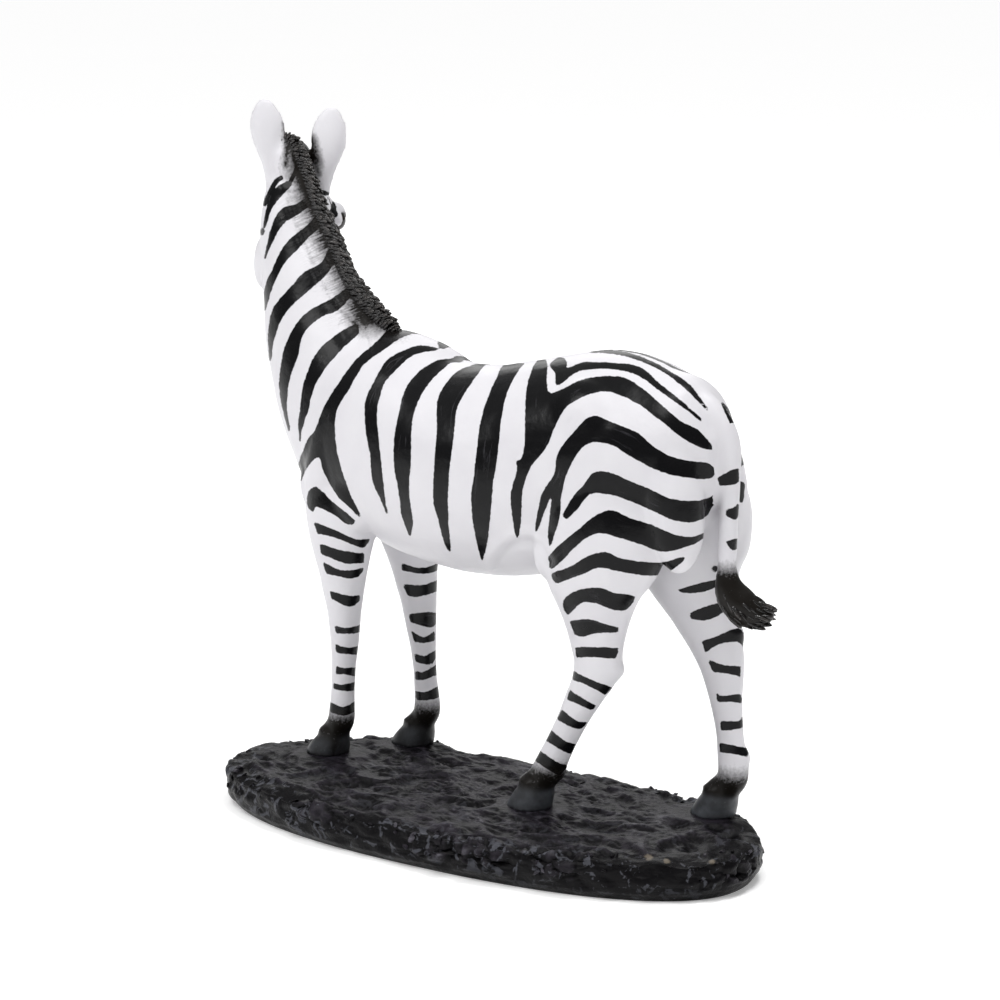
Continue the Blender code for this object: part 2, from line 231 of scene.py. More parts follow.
# The camera and its light
studio = {
    "floorSize": 60.0,  # metres, as all places here
    "floor": "#fbfbfb",
    "floorGlow": 0.24,
    "skyLevel": 0.08,  # at the horizon
    "skyTop": 0.6,
    "sunFrom": (0.1, -0.5, 1.0),
    "sunPower": 1.25,
    "sunWidth": 34.0,
    "keyPlace": (-1.0, -1.4, 1.25),
    "keySize": 0.65,
    "keyPower": 8.0,
    "topPlace": (0.35, 0.15, 1.5),
    "topPower": 8.0,
    "backPlace": (-1.25, 1.45, 1.05),
    "backSize": 1.2,
    "backPower": 6.5,
}


def addCamera():
    right, up, back = viewAxes()
    lens = bpy.data.cameras.new("photoCamera")
    lens.sensor_width = 36
    lens.lens = lens.sensor_width * photoView["focalPixels"] / photoView["imageSize"]
    lens.clip_end = 100
    camera = bpy.data.objects.new("photoCamera", lens)
    bpy.context.scene.collection.objects.link(camera)
    place = np.eye(4)
    place[:3, 0], place[:3, 1], place[:3, 2] = right, up, back
    place[:3, 3] = np.array(photoView["lensPlace"]) * 0.001
    camera.matrix_world = Matrix([tuple(row) for row in place])
    bpy.context.scene.camera = camera


def addLight(name, place, size, power):  # a soft box that faces the middle of the figure
    light = bpy.data.lights.new(name, "AREA")
    light.size = size
    light.energy = power
    lamp = bpy.data.objects.new(name, light)
    lamp.location = place
    lamp.rotation_euler = (Vector((0, 0, 0.14)) - Vector(place)).to_track_quat("-Z", "Y").to_euler()
    bpy.context.scene.collection.objects.link(lamp)


def addStudio():
    half = studio["floorSize"] / 2 * 1000
    corners = [(-half, -half, 0), (half, -half, 0), (half, half, 0), (-half, half, 0)]
    floor = meshObject("floor", corners, [(0, 1, 2, 3)], False)
    material, _, shader = newMaterial("matt white sweep")
    shader.inputs["Base Color"].default_value = hexColour(studio["floor"])
    shader.inputs["Roughness"].default_value = 0.9
    shader.inputs["Emission Color"].default_value = (1, 1, 1, 1)
    shader.inputs["Emission Strength"].default_value = studio["floorGlow"]
    floor.data.materials.append(material)
    world = bpy.data.worlds.new("studioSky")
    world.use_nodes = True
    tree = world.node_tree
    direction = addNode(tree, "ShaderNodeTexCoord").outputs["Generated"]
    split = addNode(tree, "ShaderNodeSeparateXYZ", {}, {0: direction})
    levels = {"To Min": studio["skyLevel"], "To Max": studio["skyTop"]}
    sky = addNode(tree, "ShaderNodeMapRange", levels, {"Value": split.outputs[2]})
    seen = addNode(tree, "ShaderNodeLightPath").outputs["Is Camera Ray"]
    level = addNode(tree, "ShaderNodeMath", {"operation": "MAXIMUM"}, {0: sky.outputs[0], 1: seen})
    tree.links.new(level.outputs[0], tree.nodes["Background"].inputs["Strength"])
    tree.nodes["Background"].inputs["Color"].default_value = (1, 1, 1, 1)
    bpy.context.scene.world = world
    sun = bpy.data.lights.new("softSun", "SUN")
    sun.energy = studio["sunPower"]
    sun.angle = math.radians(studio["sunWidth"])
    lamp = bpy.data.objects.new("softSun", sun)
    lamp.rotation_euler = Vector(studio["sunFrom"]).to_track_quat("Z", "Y").to_euler()
    bpy.context.scene.collection.objects.link(lamp)
    addLight("keyBox", studio["keyPlace"], studio["keySize"], studio["keyPower"])
    addLight("topBox", studio["topPlace"], studio["keySize"] * 0.6, studio["topPower"])
    addLight("backBox", studio["backPlace"], studio["backSize"], studio["backPower"])
    bpy.context.scene.view_settings.view_transform = "Standard"


addCamera()
addStudio()
print("studio done")

# The figure's form, drawn in mm heading -X with its soles at z = 0
figure = {
    "stance": (-0.6, 13.6, figureFoot),  # where the drawing's origin lies in the row frame
    "fuseVoxel": 1.24,
    "soleSink": 0.5,  # how far the hooves sink into the ground
    "poll": (-132, 11, 244),
    "headYaw": 60,
    "headPitch": 42,
    "headRoll": 9,
}

# Torso: x, middle height, half width, up to the back, down to the belly
torsoRows = (
    (-110, 127, 6, 8, 9),
    (-106, 128, 14, 17, 18),
    (-97, 131, 22, 30, 31),
    (-80, 138, 28, 45, 40),
    (-60, 142, 31.5, 48, 46),
    (-35, 138, 35, 43.5, 46),
    (-6, 136.5, 37, 44.5, 45),
    (22, 140, 36.5, 46, 43),
    (48, 148, 35, 44.5, 42),
    (72, 153, 33, 43, 40),
    (92, 156, 28.5, 35.5, 34),
    (107, 157, 20, 26, 26),
    (114, 157, 8, 12, 13),
)
# Neck from the poll down: x, y, z, half width, out to the crest, out to the throat
neckRows = (
    (-134, 10.5, 243, 10.5, 10, 13),
    (-131, 9, 233, 12.5, 14, 17),
    (-126, 6.5, 219, 13.5, 19, 20),
    (-118, 3, 201, 15, 24, 23.5),
    (-109, 0.5, 181, 18, 30, 28),
    (-96, 0, 161, 23, 41, 34),
    (-81, 0, 143, 26, 47, 38),
)
# Head from the poll: along the face, half width, up to the forehead, down to the jaw
headRows = (
    (-9, 6, 5, 7),
    (-4, 11, 9, 14),
    (8, 13.5, 11, 22),
    (20, 15, 12, 29),
    (32, 13.5, 11, 28),
    (45, 10.5, 9, 18),
    (57, 9, 8, 13.5),
    (67, 9.6, 8.5, 12.5),
    (75, 8.6, 7, 11),
    (80, 4.5, 3, 6),
)
# Lumps on both sides of the head: along the face, out of it, to the side, then half sizes
headLumps = {
    "cheek": (27, -22, 9.5, 15, 7, 14),
    "socket": (23, 4.5, 13.5, 6.5, 4, 5),
    "brow": (19.5, -0.5, 13.2, 4.6, 5.6, 3.6),
    "nostril": (70, 1, 6, 5, 4, 4.5),
}
eye = {
    "along": 24.5,
    "out": 2.0,
    "aside": 13.6,
    "radius": 4.6,
    "lid": 1.1,
    "socket": 2.6,
    "colour": "#1a0f0a",
    "rough": 0.08,
}
# Ear from its root: distance, half width, depth of its back, wall
earRows = (
    (0, 4.2, 4.2, 3.4),
    (8, 4.4, 4.6, 3),
    (13, 5.4, 4.8, 2.6),
    (18, 6.9, 5, 2.3),
    (23, 8, 4.8, 2.1),
    (28, 8.1, 4.3, 2),
    (33, 6.7, 3.4, 1.9),
    (37, 4.3, 2.5, 1.8),
    (39.5, 1.8, 1.8, 1.7),
)
ear = {"apart": 10.8, "shift": -1.8, "sink": -1.0, "splay": 0.14, "edge": 0.8}
# Mane along the crest: x, y, z, height over the crest
maneRows = (
    (-140, 11, 256, 8),
    (-133.4, 9, 259, 11),
    (-124.2, 6.7, 252, 9),
    (-114.6, 4.6, 239, 6.2),
    (-104, 2.8, 223, 9.4),
    (-93.8, 1, 208, 9.8),
    (-83, 0, 197, 12),
    (-73, 0, 190.5, 10.5),
    (-64, 0, 188, 5),
    (-59, 0, 187, 1.5),
)
mane = {
    "halfWidth": 2.8,
    "underLocks": 1.5,  # how much lower the ridge is than the tips of its locks
    "ends": (5, 8),  # how far its two ends take to come to full size
    "tips": (0.35, 0.25),
    "rows": ((1.0, 0.2), (1.0, 0.36), (1.0, 0.52), (0.9, 0.66), (0.45, 0.74), (0.0, 0.76)),  # aside, up
    "spacing": 1.7,
    "lockLength": 4.2,
    "lockWidth": 1.0,
    "lockThickness": 0.75,
    "lockBend": 1.0,
    "crownSlim": ((0, 22, 40), (0.6, 0.75, 1.0)),  # along it, share of the width
    "seed": 4,
}
# Leg forms: place between the joints, half width, out to the rear, out to the front
foreForm = (
    (0.0, 7, 12, 12),
    (0.25, 10.5, 19, 19),
    (0.6, 12, 21, 20),
    (1.0, 11.5, 16, 16),
    (1.4, 9, 11, 11),
    (1.75, 7.4, 7.8, 8),
    (2.0, 6.6, 6.6, 7.2),
    (2.25, 5.4, 5.6, 5.8),
    (2.6, 5, 5.1, 5.2),
    (3.0, 5.8, 6.2, 6),
    (3.5, 5.6, 5.6, 5.8),
    (4.0, 6.6, 6.4, 7),
)
hindForm = (
    (0.0, 8, 15, 15),
    (0.2, 14, 26, 26),
    (0.5, 18, 33, 32),
    (0.75, 18, 31, 31),
    (1.0, 15.5, 25, 25),
    (1.35, 11.5, 17, 17),
    (1.7, 8.8, 12.5, 12.5),
    (2.0, 7.2, 11, 10.5),
    (2.25, 5.8, 7.8, 8),
    (2.6, 5, 6, 6.2),
    (3.0, 6, 6.8, 6.8),
    (3.5, 5.8, 6.2, 6.4),
    (4.0, 7.4, 6.8, 7.8),
)
# Each leg's form, its joints from the top to the coronet, and the height where its own bands start
legs = {
    "leftFore": (
        foreForm,
        ((-80, -15, 132), (-79.5, -16.5, 98), (-79.5, -15, 55), (-82, -15, 16), (-86.5, -15, 8)),
        100,
    ),
    "rightFore": (
        foreForm,
        ((-75, 15, 132), (-70, 17.5, 96), (-66, 20, 54), (-63, 20.5, 16), (-68, 20.5, 8)),
        88,
    ),
    "leftHind": (
        hindForm,
        ((74, -16, 160), (65, -19, 104), (66, -18, 66), (38.5, -17, 17), (33, -17, 9)),
        108,
    ),
    "rightHind": (
        hindForm,
        ((80, 16, 160), (84, 20, 104), (98.5, 23.5, 65), (104.5, 25, 18), (98, 25, 9)),
        112,
    ),
}
hoof = {"toe": 11.5, "heel": 8.5, "halfWidth": 9.3, "lean": 3.2}
hoofLevels = ((-0.35, 0.12), (0, 0.12), (0.12, 0.25), (0.5, 0.67), (1, 1), (1.12, 1))
# Tail: x, y, z, half thickness
tailRows = (
    (98, 0, 181, 6),
    (108, 0.5, 177, 5.4),
    (115.3, 2, 167, 5),
    (116.5, 2.8, 150, 4.6),
    (116, 3, 125, 3.9),
    (115.5, 3.5, 111, 4),
    (116, 4.2, 104, 5.8),
    (119, 6.5, 98, 7.2),
    (123.5, 9.8, 94, 6.2),
    (128.5, 12.8, 93, 4),
    (131.5, 14.3, 93.5, 1.4),
)
# Muscles on both flanks: x, out, z, half length, half depth, half height, lean
swells = (
    (-80, 19.5, 141, 13, 9, 36, 18),
    (-94, 13, 120, 10, 9.5, 15, 0),
    (-66, 20.5, 120, 15, 8, 16, -20),
    (62, 19, 160, 27, 13.5, 27, 30),
    (101, 14, 143, 13, 12.5, 32, -8),
)
stifles = ((49, -25, 114), (69, 25, 114))


def addRings(shells, rings):  # a closed shell through rings of equal counts
    start = len(shells["points"])
    count = len(rings[0])
    for ring in rings:
        shells["points"].extend(tuple(point) for point in ring)
    for row in range(len(rings) - 1):
        low = start + row * count
        for i in range(count):
            j = (i + 1) % count
            shells["faces"].append((low + i, low + j, low + count + j, low + count + i))
    shells["faces"].append(tuple(start + i for i in reversed(range(count))))
    shells["faces"].append(tuple(start + (len(rings) - 1) * count + i for i in range(count)))


def addLoft(shells, centres, sides, sideAxis, count):  # ovals round a path: half width, upper, lower
    centres = np.array(centres, float)
    rings = []
    for centre, direction, (half, upper, lower) in zip(centres, np.gradient(centres, axis=0), sides):
        direction = unit(direction)
        across = unit(np.array(sideAxis) - direction * np.dot(sideAxis, direction))
        up = np.cross(direction, across)
        ring = []
        for turn in np.arange(count) * 2 * math.pi / count:
            depth = upper if math.sin(turn) > 0 else lower
            ring.append(centre + across * half * math.cos(turn) + up * depth * math.sin(turn))
        rings.append(ring)
    addRings(shells, rings)


def addBall(shells, centre, axes, radii):
    rings = []
    for tilt in np.linspace(0.08, math.pi - 0.08, 15):
        ring = []
        for turn in np.arange(24) * math.pi / 12:
            local = (math.sin(tilt) * math.cos(turn), math.sin(tilt) * math.sin(turn), math.cos(tilt))
            ring.append(sum((axes[k] * radii[k] * local[k] for k in range(3)), np.array(centre, float)))
        rings.append(ring)
    addRings(shells, rings)


def headAxes():  # down the face, to the head's left, out of its forehead, and the level heading
    yaw, pitch, roll = (math.radians(figure[key]) for key in ("headYaw", "headPitch", "headRoll"))
    level = np.array((-math.cos(yaw), math.sin(yaw), 0))
    face = level * math.cos(pitch) + np.array((0, 0, -1.0)) * math.sin(pitch)
    side = np.array((-level[1], level[0], 0))
    left = side * math.cos(roll) + np.cross(face, side) * math.sin(roll)
    return face, left, np.cross(face, left), level


def headPlace(along, out, aside):  # a place on the head, in drawn mm
    face, left, brow, _ = headAxes()
    return np.array(figure["poll"]) + face * along + brow * out + left * aside


def earAxes(side):  # its root, up its length, out of its back, and across
    _, left, _, level = headAxes()
    root = np.array(figure["poll"]) + left * (side * ear["apart"] + ear["shift"]) + (0, 0, ear["sink"])
    rise = unit(np.array((0, 0, 1.0)) + left * side * ear["splay"])
    back = unit(-level - rise * np.dot(-level, rise))
    return root, rise, back, np.cross(rise, back)


def addEar(shells, side):
    root, rise, back, across = earAxes(side)
    rings = []
    rows = [(t, 0, 0, half, depth, wall) for t, half, depth, wall in earRows]
    for t, _, _, half, depth, wall in smoothRows(rows, 5):
        centre = root + rise * t
        turns = np.linspace(0, math.pi, 17)
        ring = [centre - across * half * math.cos(a) + back * depth * math.sin(a) for a in turns]
        for a in turns:
            inner = (depth - wall) * math.sin(a) - ear["edge"]
            ring.append(centre + across * (half - ear["edge"]) * math.cos(a) + back * inner)
        rings.append(ring)
    addRings(shells, rings)


def addLids(shells, side):  # two rolls of skin round the eye
    face, left, brow, _ = headAxes()
    middle = headPlace(eye["along"], eye["out"], eye["aside"] * side)
    outward = left * side
    for lift, thick, gape in ((1, eye["lid"], 0.62), (-1, eye["lid"] * 0.75, 0.5)):
        path = []
        for turn in np.linspace(-0.2, math.pi + 0.2, 15):
            reach = face * math.cos(turn) * 0.98 + brow * lift * math.sin(turn) * gape
            lie = math.sqrt(max(1 - reach @ reach, 0.06))
            path.append(middle + (reach + outward * lie) * (eye["radius"] + 0.25))
        sides = [(thick * (0.55 + 0.45 * math.sin(i * math.pi / 14)),) * 3 for i in range(15)]
        addLoft(shells, path, sides, outward, 8)


def legPath(joints, steps):  # rounded line through the joints
    count = len(joints) - 1
    station = np.linspace(0, count, steps)
    centres = np.array([np.interp(station, range(count + 1), axis) for axis in zip(*joints)]).T
    for _ in range(3):
        centres[1:-1] = (centres[:-2] + 2 * centres[1:-1] + centres[2:]) / 4
    return station, centres


def addLeg(shells, form, joints):
    station, centres = legPath(joints, 45)
    places = [row[0] for row in form]
    sides = np.array([np.interp(station, places, [row[k] for row in form]) for k in (1, 2, 3)]).T
    for _ in range(2):
        sides[1:-1] = (sides[:-2] + 2 * sides[1:-1] + sides[2:]) / 4
    addLoft(shells, centres, sides, (0, 1, 0), 28)
    rings = []
    for share, grow in hoofLevels:
        centre = np.array(joints[-1], float) * (1, 1, 1 - share)
        centre[0] -= hoof["lean"] * max(share, 0)
        half, heel, toe = (
            side + (hoof[key] - side) * grow
            for side, key in zip(sides[-1], ("halfWidth", "heel", "toe"))
        )
        ring = []
        for turn in np.arange(32) * math.pi / 16:
            reach = heel if math.cos(turn) > 0 else toe
            ring.append(centre + np.array((reach * math.cos(turn), half * math.sin(turn), 0)))
        rings.append(ring)
    addRings(shells, rings)


def maneTaper(rows):
    length = pathLength(rows)
    front = np.clip(length / mane["ends"][0], mane["tips"][0], 1)
    return front * np.clip((length[-1] - length) / mane["ends"][1], mane["tips"][1], 1)


def gatherFigure():  # every overlapping shell of the figure
    shells = {"points": [], "faces": []}
    rows = smoothRows([(x, 0, z, half, up, down) for x, z, half, up, down in torsoRows], 5)
    addLoft(shells, rows[:, :3], rows[:, 3:], (0, 1, 0), 48)
    rows = smoothRows(neckRows, 6)
    addLoft(shells, rows[:, :3], rows[:, 3:], (0, 1, 0), 44)
    face, left, brow, _ = headAxes()
    rows = smoothRows([(t, 0, 0, half, up, down) for t, half, up, down in headRows], 5)
    centres = [np.array(figure["poll"]) + face * row[0] for row in rows]
    addLoft(shells, centres, rows[:, 3:], left, 36)
    addBall(shells, np.array(figure["poll"]) + (0, 0, 10), np.eye(3), (8, 9, 12))
    for along, out, aside, *radii in headLumps.values():
        for side in (-1, 1):
            addBall(shells, headPlace(along, out, aside * side), (face, left, brow), radii)
    for side in (-1, 1):
        addEar(shells, side)
        addLids(shells, side)
    rows = smoothRows(maneRows, 8)
    slim = np.interp(pathLength(rows), *mane["crownSlim"])
    sides = [
        (mane["halfWidth"] * thin * narrow, max((row[3] - mane["underLocks"]) * thin, 1), 5)
        for row, thin, narrow in zip(rows, maneTaper(rows), slim)
    ]
    addLoft(shells, rows[:, :3], sides, (0, 1, 0), 20)
    for form, joints, _ in legs.values():
        addLeg(shells, form, joints)
    for x, out, z, halfLength, halfDepth, halfHeight, lean in swells:
        turn = math.radians(lean)
        axes = (
            np.array((math.cos(turn), 0, -math.sin(turn))),
            np.array((0, 1.0, 0)),
            np.array((math.sin(turn), 0, math.cos(turn))),
        )
        for side in (-1, 1):
            addBall(shells, (x, out * side, z), axes, (halfLength, halfDepth, halfHeight))
    for stifle in stifles:
        addBall(shells, stifle, np.eye(3), (10, 8, 13))
    rows = smoothRows(tailRows, 6)
    addLoft(shells, rows[:, :3], [(r, r, r) for r in rows[:, 3]], (0, 1, 0), 20)
    return shells


# Black marks read off the photograph, in its pixels. A band has two sides that run the same way.
bodyBands = (
    (  # neck, at the top
        ((310, 196), (296, 205), (284, 208), (276, 218), (270, 235), (265, 258)),
        ((313, 203), (297, 214), (283, 223), (274, 237), (269, 248), (267, 252)),
    ),
    (  # neck
        ((318, 213), (309, 225), (296, 235), (284, 247), (275, 266), (267, 283), (264, 300), (265, 310)),
        ((325, 222), (310, 235), (300, 246), (285, 261), (276, 277), (270, 292), (267, 301), (266, 308)),
    ),
    (  # neck
        ((330, 248), (322, 263), (305, 273), (291, 288), (275, 307), (269, 330), (270, 360)),
        ((337, 256), (325, 275), (308, 290), (290, 306), (279, 323), (272, 345), (271, 357)),
    ),
    (  # neck
        ((348, 288), (333, 299), (312, 310), (296, 326), (284, 352), (280, 385), (284, 412), (289, 430)),
        ((352, 294), (338, 309), (320, 317), (303, 332), (297, 356), (288, 382), (286, 410), (289, 426)),
    ),
    (  # neck, at its root
        ((358, 324), (340, 333), (320, 350), (309, 370), (303, 390), (301, 412), (299, 422), (300, 441)),
        ((358, 333), (342, 348), (325, 367), (313, 388), (308, 408), (304, 420), (301, 430), (300, 438)),
    ),
    (  # shoulder
        (
            (438, 349), (420, 346), (403, 352), (388, 360), (377, 378), (366, 402), (367, 432),
            (371, 455), (373, 480), (383, 503), (387, 513),
        ),
        (
            (425, 351), (412, 355), (403, 362), (384, 382), (377, 405), (376, 422), (379, 450),
            (382, 480), (385, 505),
        ),
    ),
    (  # barrel
        (
            (465, 361), (442, 360), (420, 372), (406, 390), (400, 412), (395, 440), (395, 465),
            (400, 495), (403, 517), (410, 535),
        ),
        (
            (450, 362), (430, 380), (417, 402), (411, 425), (410, 462), (408, 488), (411, 515),
            (412, 525),
        ),
    ),
    (  # barrel
        (
            (485, 364), (463, 369), (448, 382), (438, 402), (438, 425), (436, 455), (434, 495),
            (439, 520), (446, 545), (450, 551),
        ),
        (
            (481, 368), (467, 388), (456, 408), (453, 435), (448, 475), (447, 505), (448, 532),
            (450, 545),
        ),
    ),
    (  # barrel
        (
            (523, 364), (505, 365), (497, 379), (488, 400), (481, 425), (475, 475), (472, 500),
            (475, 530), (482, 560),
        ),
        (
            (518, 369), (507, 390), (501, 415), (496, 460), (492, 485), (488, 530), (486, 545),
        ),
    ),
    (  # along the back
        (
            (590, 352), (610, 351), (640, 357), (668, 371), (690, 386), (703, 404), (708, 410),
        ),
        (
            (600, 352), (620, 354), (650, 364), (675, 379), (696, 398), (704, 406),
        ),
    ),
)
bodyOutlines = (
    (  # the fork on the shoulder
        (393, 325), (380, 340), (357, 360), (340, 382), (325, 407), (316, 430), (308, 441), (299, 465),
        (300, 481), (306, 467), (319, 456), (325, 472), (338, 495), (352, 508), (360, 516), (356, 509),
        (347, 488), (338, 460), (334, 430), (337, 407), (349, 388), (362, 365), (382, 350), (400, 337),
        (412, 332),
    ),
    (  # the fork on the flank
        (538, 361), (531, 375), (527, 393), (526, 418), (526, 440), (522, 459), (517, 462), (518, 470),
        (512, 492), (513, 515), (517, 537), (520, 520), (522, 490), (530, 466), (545, 448), (556, 422),
        (568, 404), (590, 393), (610, 391), (633, 400), (655, 415), (683, 437), (700, 446), (709, 449),
        (712, 447), (698, 431), (682, 423), (660, 405), (643, 390), (625, 379), (605, 377), (583, 380),
        (563, 390), (551, 394), (546, 388), (546, 362),
    ),
    (  # the croup
        (551, 364), (560, 358), (566, 362), (567, 369), (585, 363), (615, 364), (640, 368), (660, 385),
        (685, 405), (701, 420), (688, 410), (660, 390), (637, 374), (610, 368), (580, 370), (563, 381),
        (557, 384), (556, 373),
    ),
    (  # from the hip to the tail, forked on the flank
        (597, 417), (612, 423), (638, 434), (650, 445), (670, 457), (690, 462), (708, 464), (715, 472),
        (708, 478), (690, 477), (668, 473), (648, 465), (630, 455), (612, 444), (592, 441), (580, 449),
        (568, 468), (561, 492), (559, 515), (553, 535), (550, 546), (549, 530), (552, 505), (552, 495),
        (546, 505), (536, 531), (540, 505), (545, 489), (555, 475), (558, 455), (569, 439), (584, 422),
        (590, 418),
    ),
    (  # rump
        (567, 518), (564, 514), (574, 497), (586, 484), (593, 474), (608, 473), (630, 482), (652, 491),
        (668, 499), (690, 502), (708, 499), (718, 494), (722, 500), (712, 511), (695, 521), (675, 520),
        (655, 511), (632, 501), (612, 494), (590, 493), (578, 507), (571, 514),
    ),
    (  # upper thigh
        (550, 556), (563, 543), (580, 529), (598, 515), (613, 511), (630, 519), (652, 526), (673, 535),
        (693, 538), (710, 531), (698, 541), (682, 547), (662, 551), (642, 544), (620, 537), (600, 532),
        (583, 539), (568, 553), (552, 568), (550, 562),
    ),
    (  # thigh
        (553, 574), (570, 568), (588, 557), (606, 553), (620, 559), (645, 563), (665, 563), (684, 558),
        (670, 570), (650, 575), (622, 571), (600, 567), (583, 573), (565, 580), (556, 582),
    ),
    (  # thigh, above the stifle
        (564, 601), (578, 591), (600, 589), (615, 594), (634, 597), (625, 609), (610, 608), (595, 602),
        (581, 602), (571, 611), (567, 613),
    ),
    (  # the neck's upper mark
        (290, 181), (276, 189), (268, 205), (264, 227), (267, 220), (270, 210), (279, 197), (290, 186),
    ),
    ((262, 229), (264, 230), (263, 234), (261, 234)),
)
bodyStrokes = (  # half width, then the path
    (1.4, ((281, 178), (275, 183), (268, 197), (265, 204))),
    (1.4, ((298, 160), (296, 170), (291, 181))),
    (1.2, ((321, 192), (327, 194), (332, 201), (334, 208))),
)
leftForeBands = (
    (
        ((316, 487), (309, 492), (308, 505), (313, 511)),
        ((321, 492), (325, 496), (316, 503), (314, 508)),
    ),
    (
        ((313, 505), (328, 510), (345, 522), (352, 524)),
        ((321, 493), (335, 505), (345, 513), (354, 521)),
    ),
    (((315, 523), (335, 531), (355, 540), (369, 540)), ((318, 533), (340, 538), (361, 547), (366, 543))),
    (((321, 545), (336, 550), (352, 553), (363, 554)), ((322, 553), (340, 561), (350, 563), (363, 562))),
    (((324, 563), (340, 571), (352, 571), (363, 569)), ((327, 573), (342, 576), (350, 578), (358, 576))),
    (((331, 592), (350, 597), (359, 596)), ((332, 598), (350, 606), (359, 600))),
    (((335, 626), (345, 629), (362, 625)), ((337, 632), (350, 633), (361, 631))),
    (((336, 645), (348, 649), (358, 647)), ((337, 652), (348, 653), (358, 654))),
    (((337, 667), (345, 669), (358, 668)), ((337, 673), (350, 674), (358, 676))),
    (((334, 684), (342, 686), (358, 682)), ((334, 688), (347, 690), (357, 689))),
    (((331, 703), (343, 708), (356, 702)), ((331, 711), (343, 715), (356, 710))),
)
leftHindBands = (
    (((571, 622), (588, 620), (605, 625), (618, 628)), ((575, 634), (583, 636), (595, 632), (617, 632))),
    (((576, 648), (595, 648), (618, 649)), ((577, 657), (590, 656), (615, 658))),
    (((574, 672), (592, 681), (611, 688)), ((573, 679), (587, 684), (605, 694))),
    (((570, 691), (585, 701), (595, 706)), ((568, 699), (584, 706), (592, 709))),
    (((562, 711), (577, 722), (586, 723)), ((558, 719), (573, 727), (581, 728))),
    (((551, 731), (565, 742), (576, 745)), ((547, 740), (563, 750), (571, 753))),
    (((539, 751), (555, 762), (567, 766)), ((536, 760), (552, 771), (560, 775))),
)
rightForeBands = (
    (((401, 561), (420, 569), (439, 563)), ((403, 570), (425, 573), (438, 569))),
    (((404, 585), (422, 586), (438, 581)), ((408, 594), (418, 596), (438, 590))),
    (((410, 615), (428, 613), (436, 614)), ((411, 621), (430, 627), (436, 622))),
    (((412, 632), (424, 638), (434, 632)), ((415, 641), (425, 642), (434, 640))),
    (((415, 654), (424, 657), (436, 651)), ((416, 661), (429, 664), (435, 659))),
    (((416, 672), (424, 673), (437, 665)), ((416, 679), (424, 679), (437, 674))),
    (((416, 692), (425, 693), (439, 687)), ((417, 699), (430, 699), (440, 696))),
)
rightHindBands = (
    (((702, 564), (714, 559), (724, 565)), ((707, 566), (714, 572), (719, 570))),
    (((679, 590), (705, 583), (723, 579)), ((682, 592), (703, 591), (722, 583))),
    (((690, 614), (710, 606), (730, 602)), ((692, 618), (710, 619), (731, 606))),
    (((703, 642), (720, 636), (738, 629), (743, 634)), ((706, 651), (720, 643), (738, 641), (743, 646))),
    (((709, 661), (725, 666), (740, 667)), ((714, 671), (735, 674), (740, 677))),
    (((717, 694), (722, 697), (740, 695)), ((718, 701), (730, 701), (741, 702))),
    (((721, 722), (738, 722), (742, 718)), ((722, 730), (732, 729), (742, 727))),
    (((720, 744), (737, 747), (748, 749)), ((721, 751), (738, 754), (747, 756))),
)
tailBands = (
    (((718, 478), (730, 472), (738, 469)), ((720, 485), (733, 484), (738, 481))),
    (((727, 510), (733, 509), (738, 504)), ((727, 515), (735, 519), (738, 514))),
    (((727, 542), (733, 540), (741, 539)), ((731, 548), (735, 549), (741, 545))),
)
buttockBands = (
    (((722, 403), (730, 425), (734, 445)), ((731, 413), (735, 425), (736, 440))),
    (((736, 455), (743, 448), (746, 455)), ((738, 468), (744, 463), (746, 458))),
    (((737, 482), (744, 484), (743, 493)), ((738, 495), (741, 502), (743, 497))),
)
# Face marks of either side: along the face and round from its middle, in mm, with their half width
faceStrokes = (
    (0.6, ((10, 0), (52, 0))),
    (0.7, ((14, 4.2), (34, 4.6), (50, 4.0))),
    (0.8, ((16, 8.6), (34, 9.2), (48, 7.8))),
    (1.4, ((36, 13), (33, 24), (24, 37))),
    (1.4, ((42, 11), (41, 22), (34, 35))),
    (1.3, ((48, 10), (49, 20), (44, 31))),
    (1.2, ((54, 8), (56, 18), (53, 28))),
    (1.5, ((15, 17), (13, 26), (8, 37))),
    (1.4, ((8, 14), (4, 24), (0, 33))),
    (1.5, ((28, 24), (21, 31), (14, 39))),
)
# The mane's foot on the left side, its outer edge, and the ridge along the neck below it
maneFoot = (
    (291, 140), (293, 150), (297, 160), (300, 180), (312, 205), (320, 225), (330, 247), (345, 275),
    (355, 300), (362, 320),
)
maneOuter = (
    (396, 323), (384, 305), (370, 280), (356, 258), (342, 232), (333, 205), (318, 175), (309, 141),
    (306, 139), (301, 129), (295, 129), (291, 137),
)
neckRidge = (
    (288, 190), (289, 205), (299, 232), (311, 258), (322, 283), (331, 300), (342, 312), (356, 325),
)
flankFold = ((500, 560), (510, 548), (520, 543), (530, 542), (540, 548), (549, 562))
knobs = (  # bony points of the hocks and fetlocks: place, reach, mm out, on the right legs
    ((620, 671), 9, 1.9, False),
    ((566, 776), 8, 1.2, False),
    ((741, 634), 9, 1.6, True),
    ((747, 757), 8, 1.3, True),
)
airbrushed = (  # soft dark strokes on the crown and the ears: half width, then the path
    (2.5, ((286, 124), (287, 145), (286, 165))),
    (1.5, ((309, 143), (313, 156), (319, 174))),
)
markScale = 0.42  # mm to a pixel at the zebra


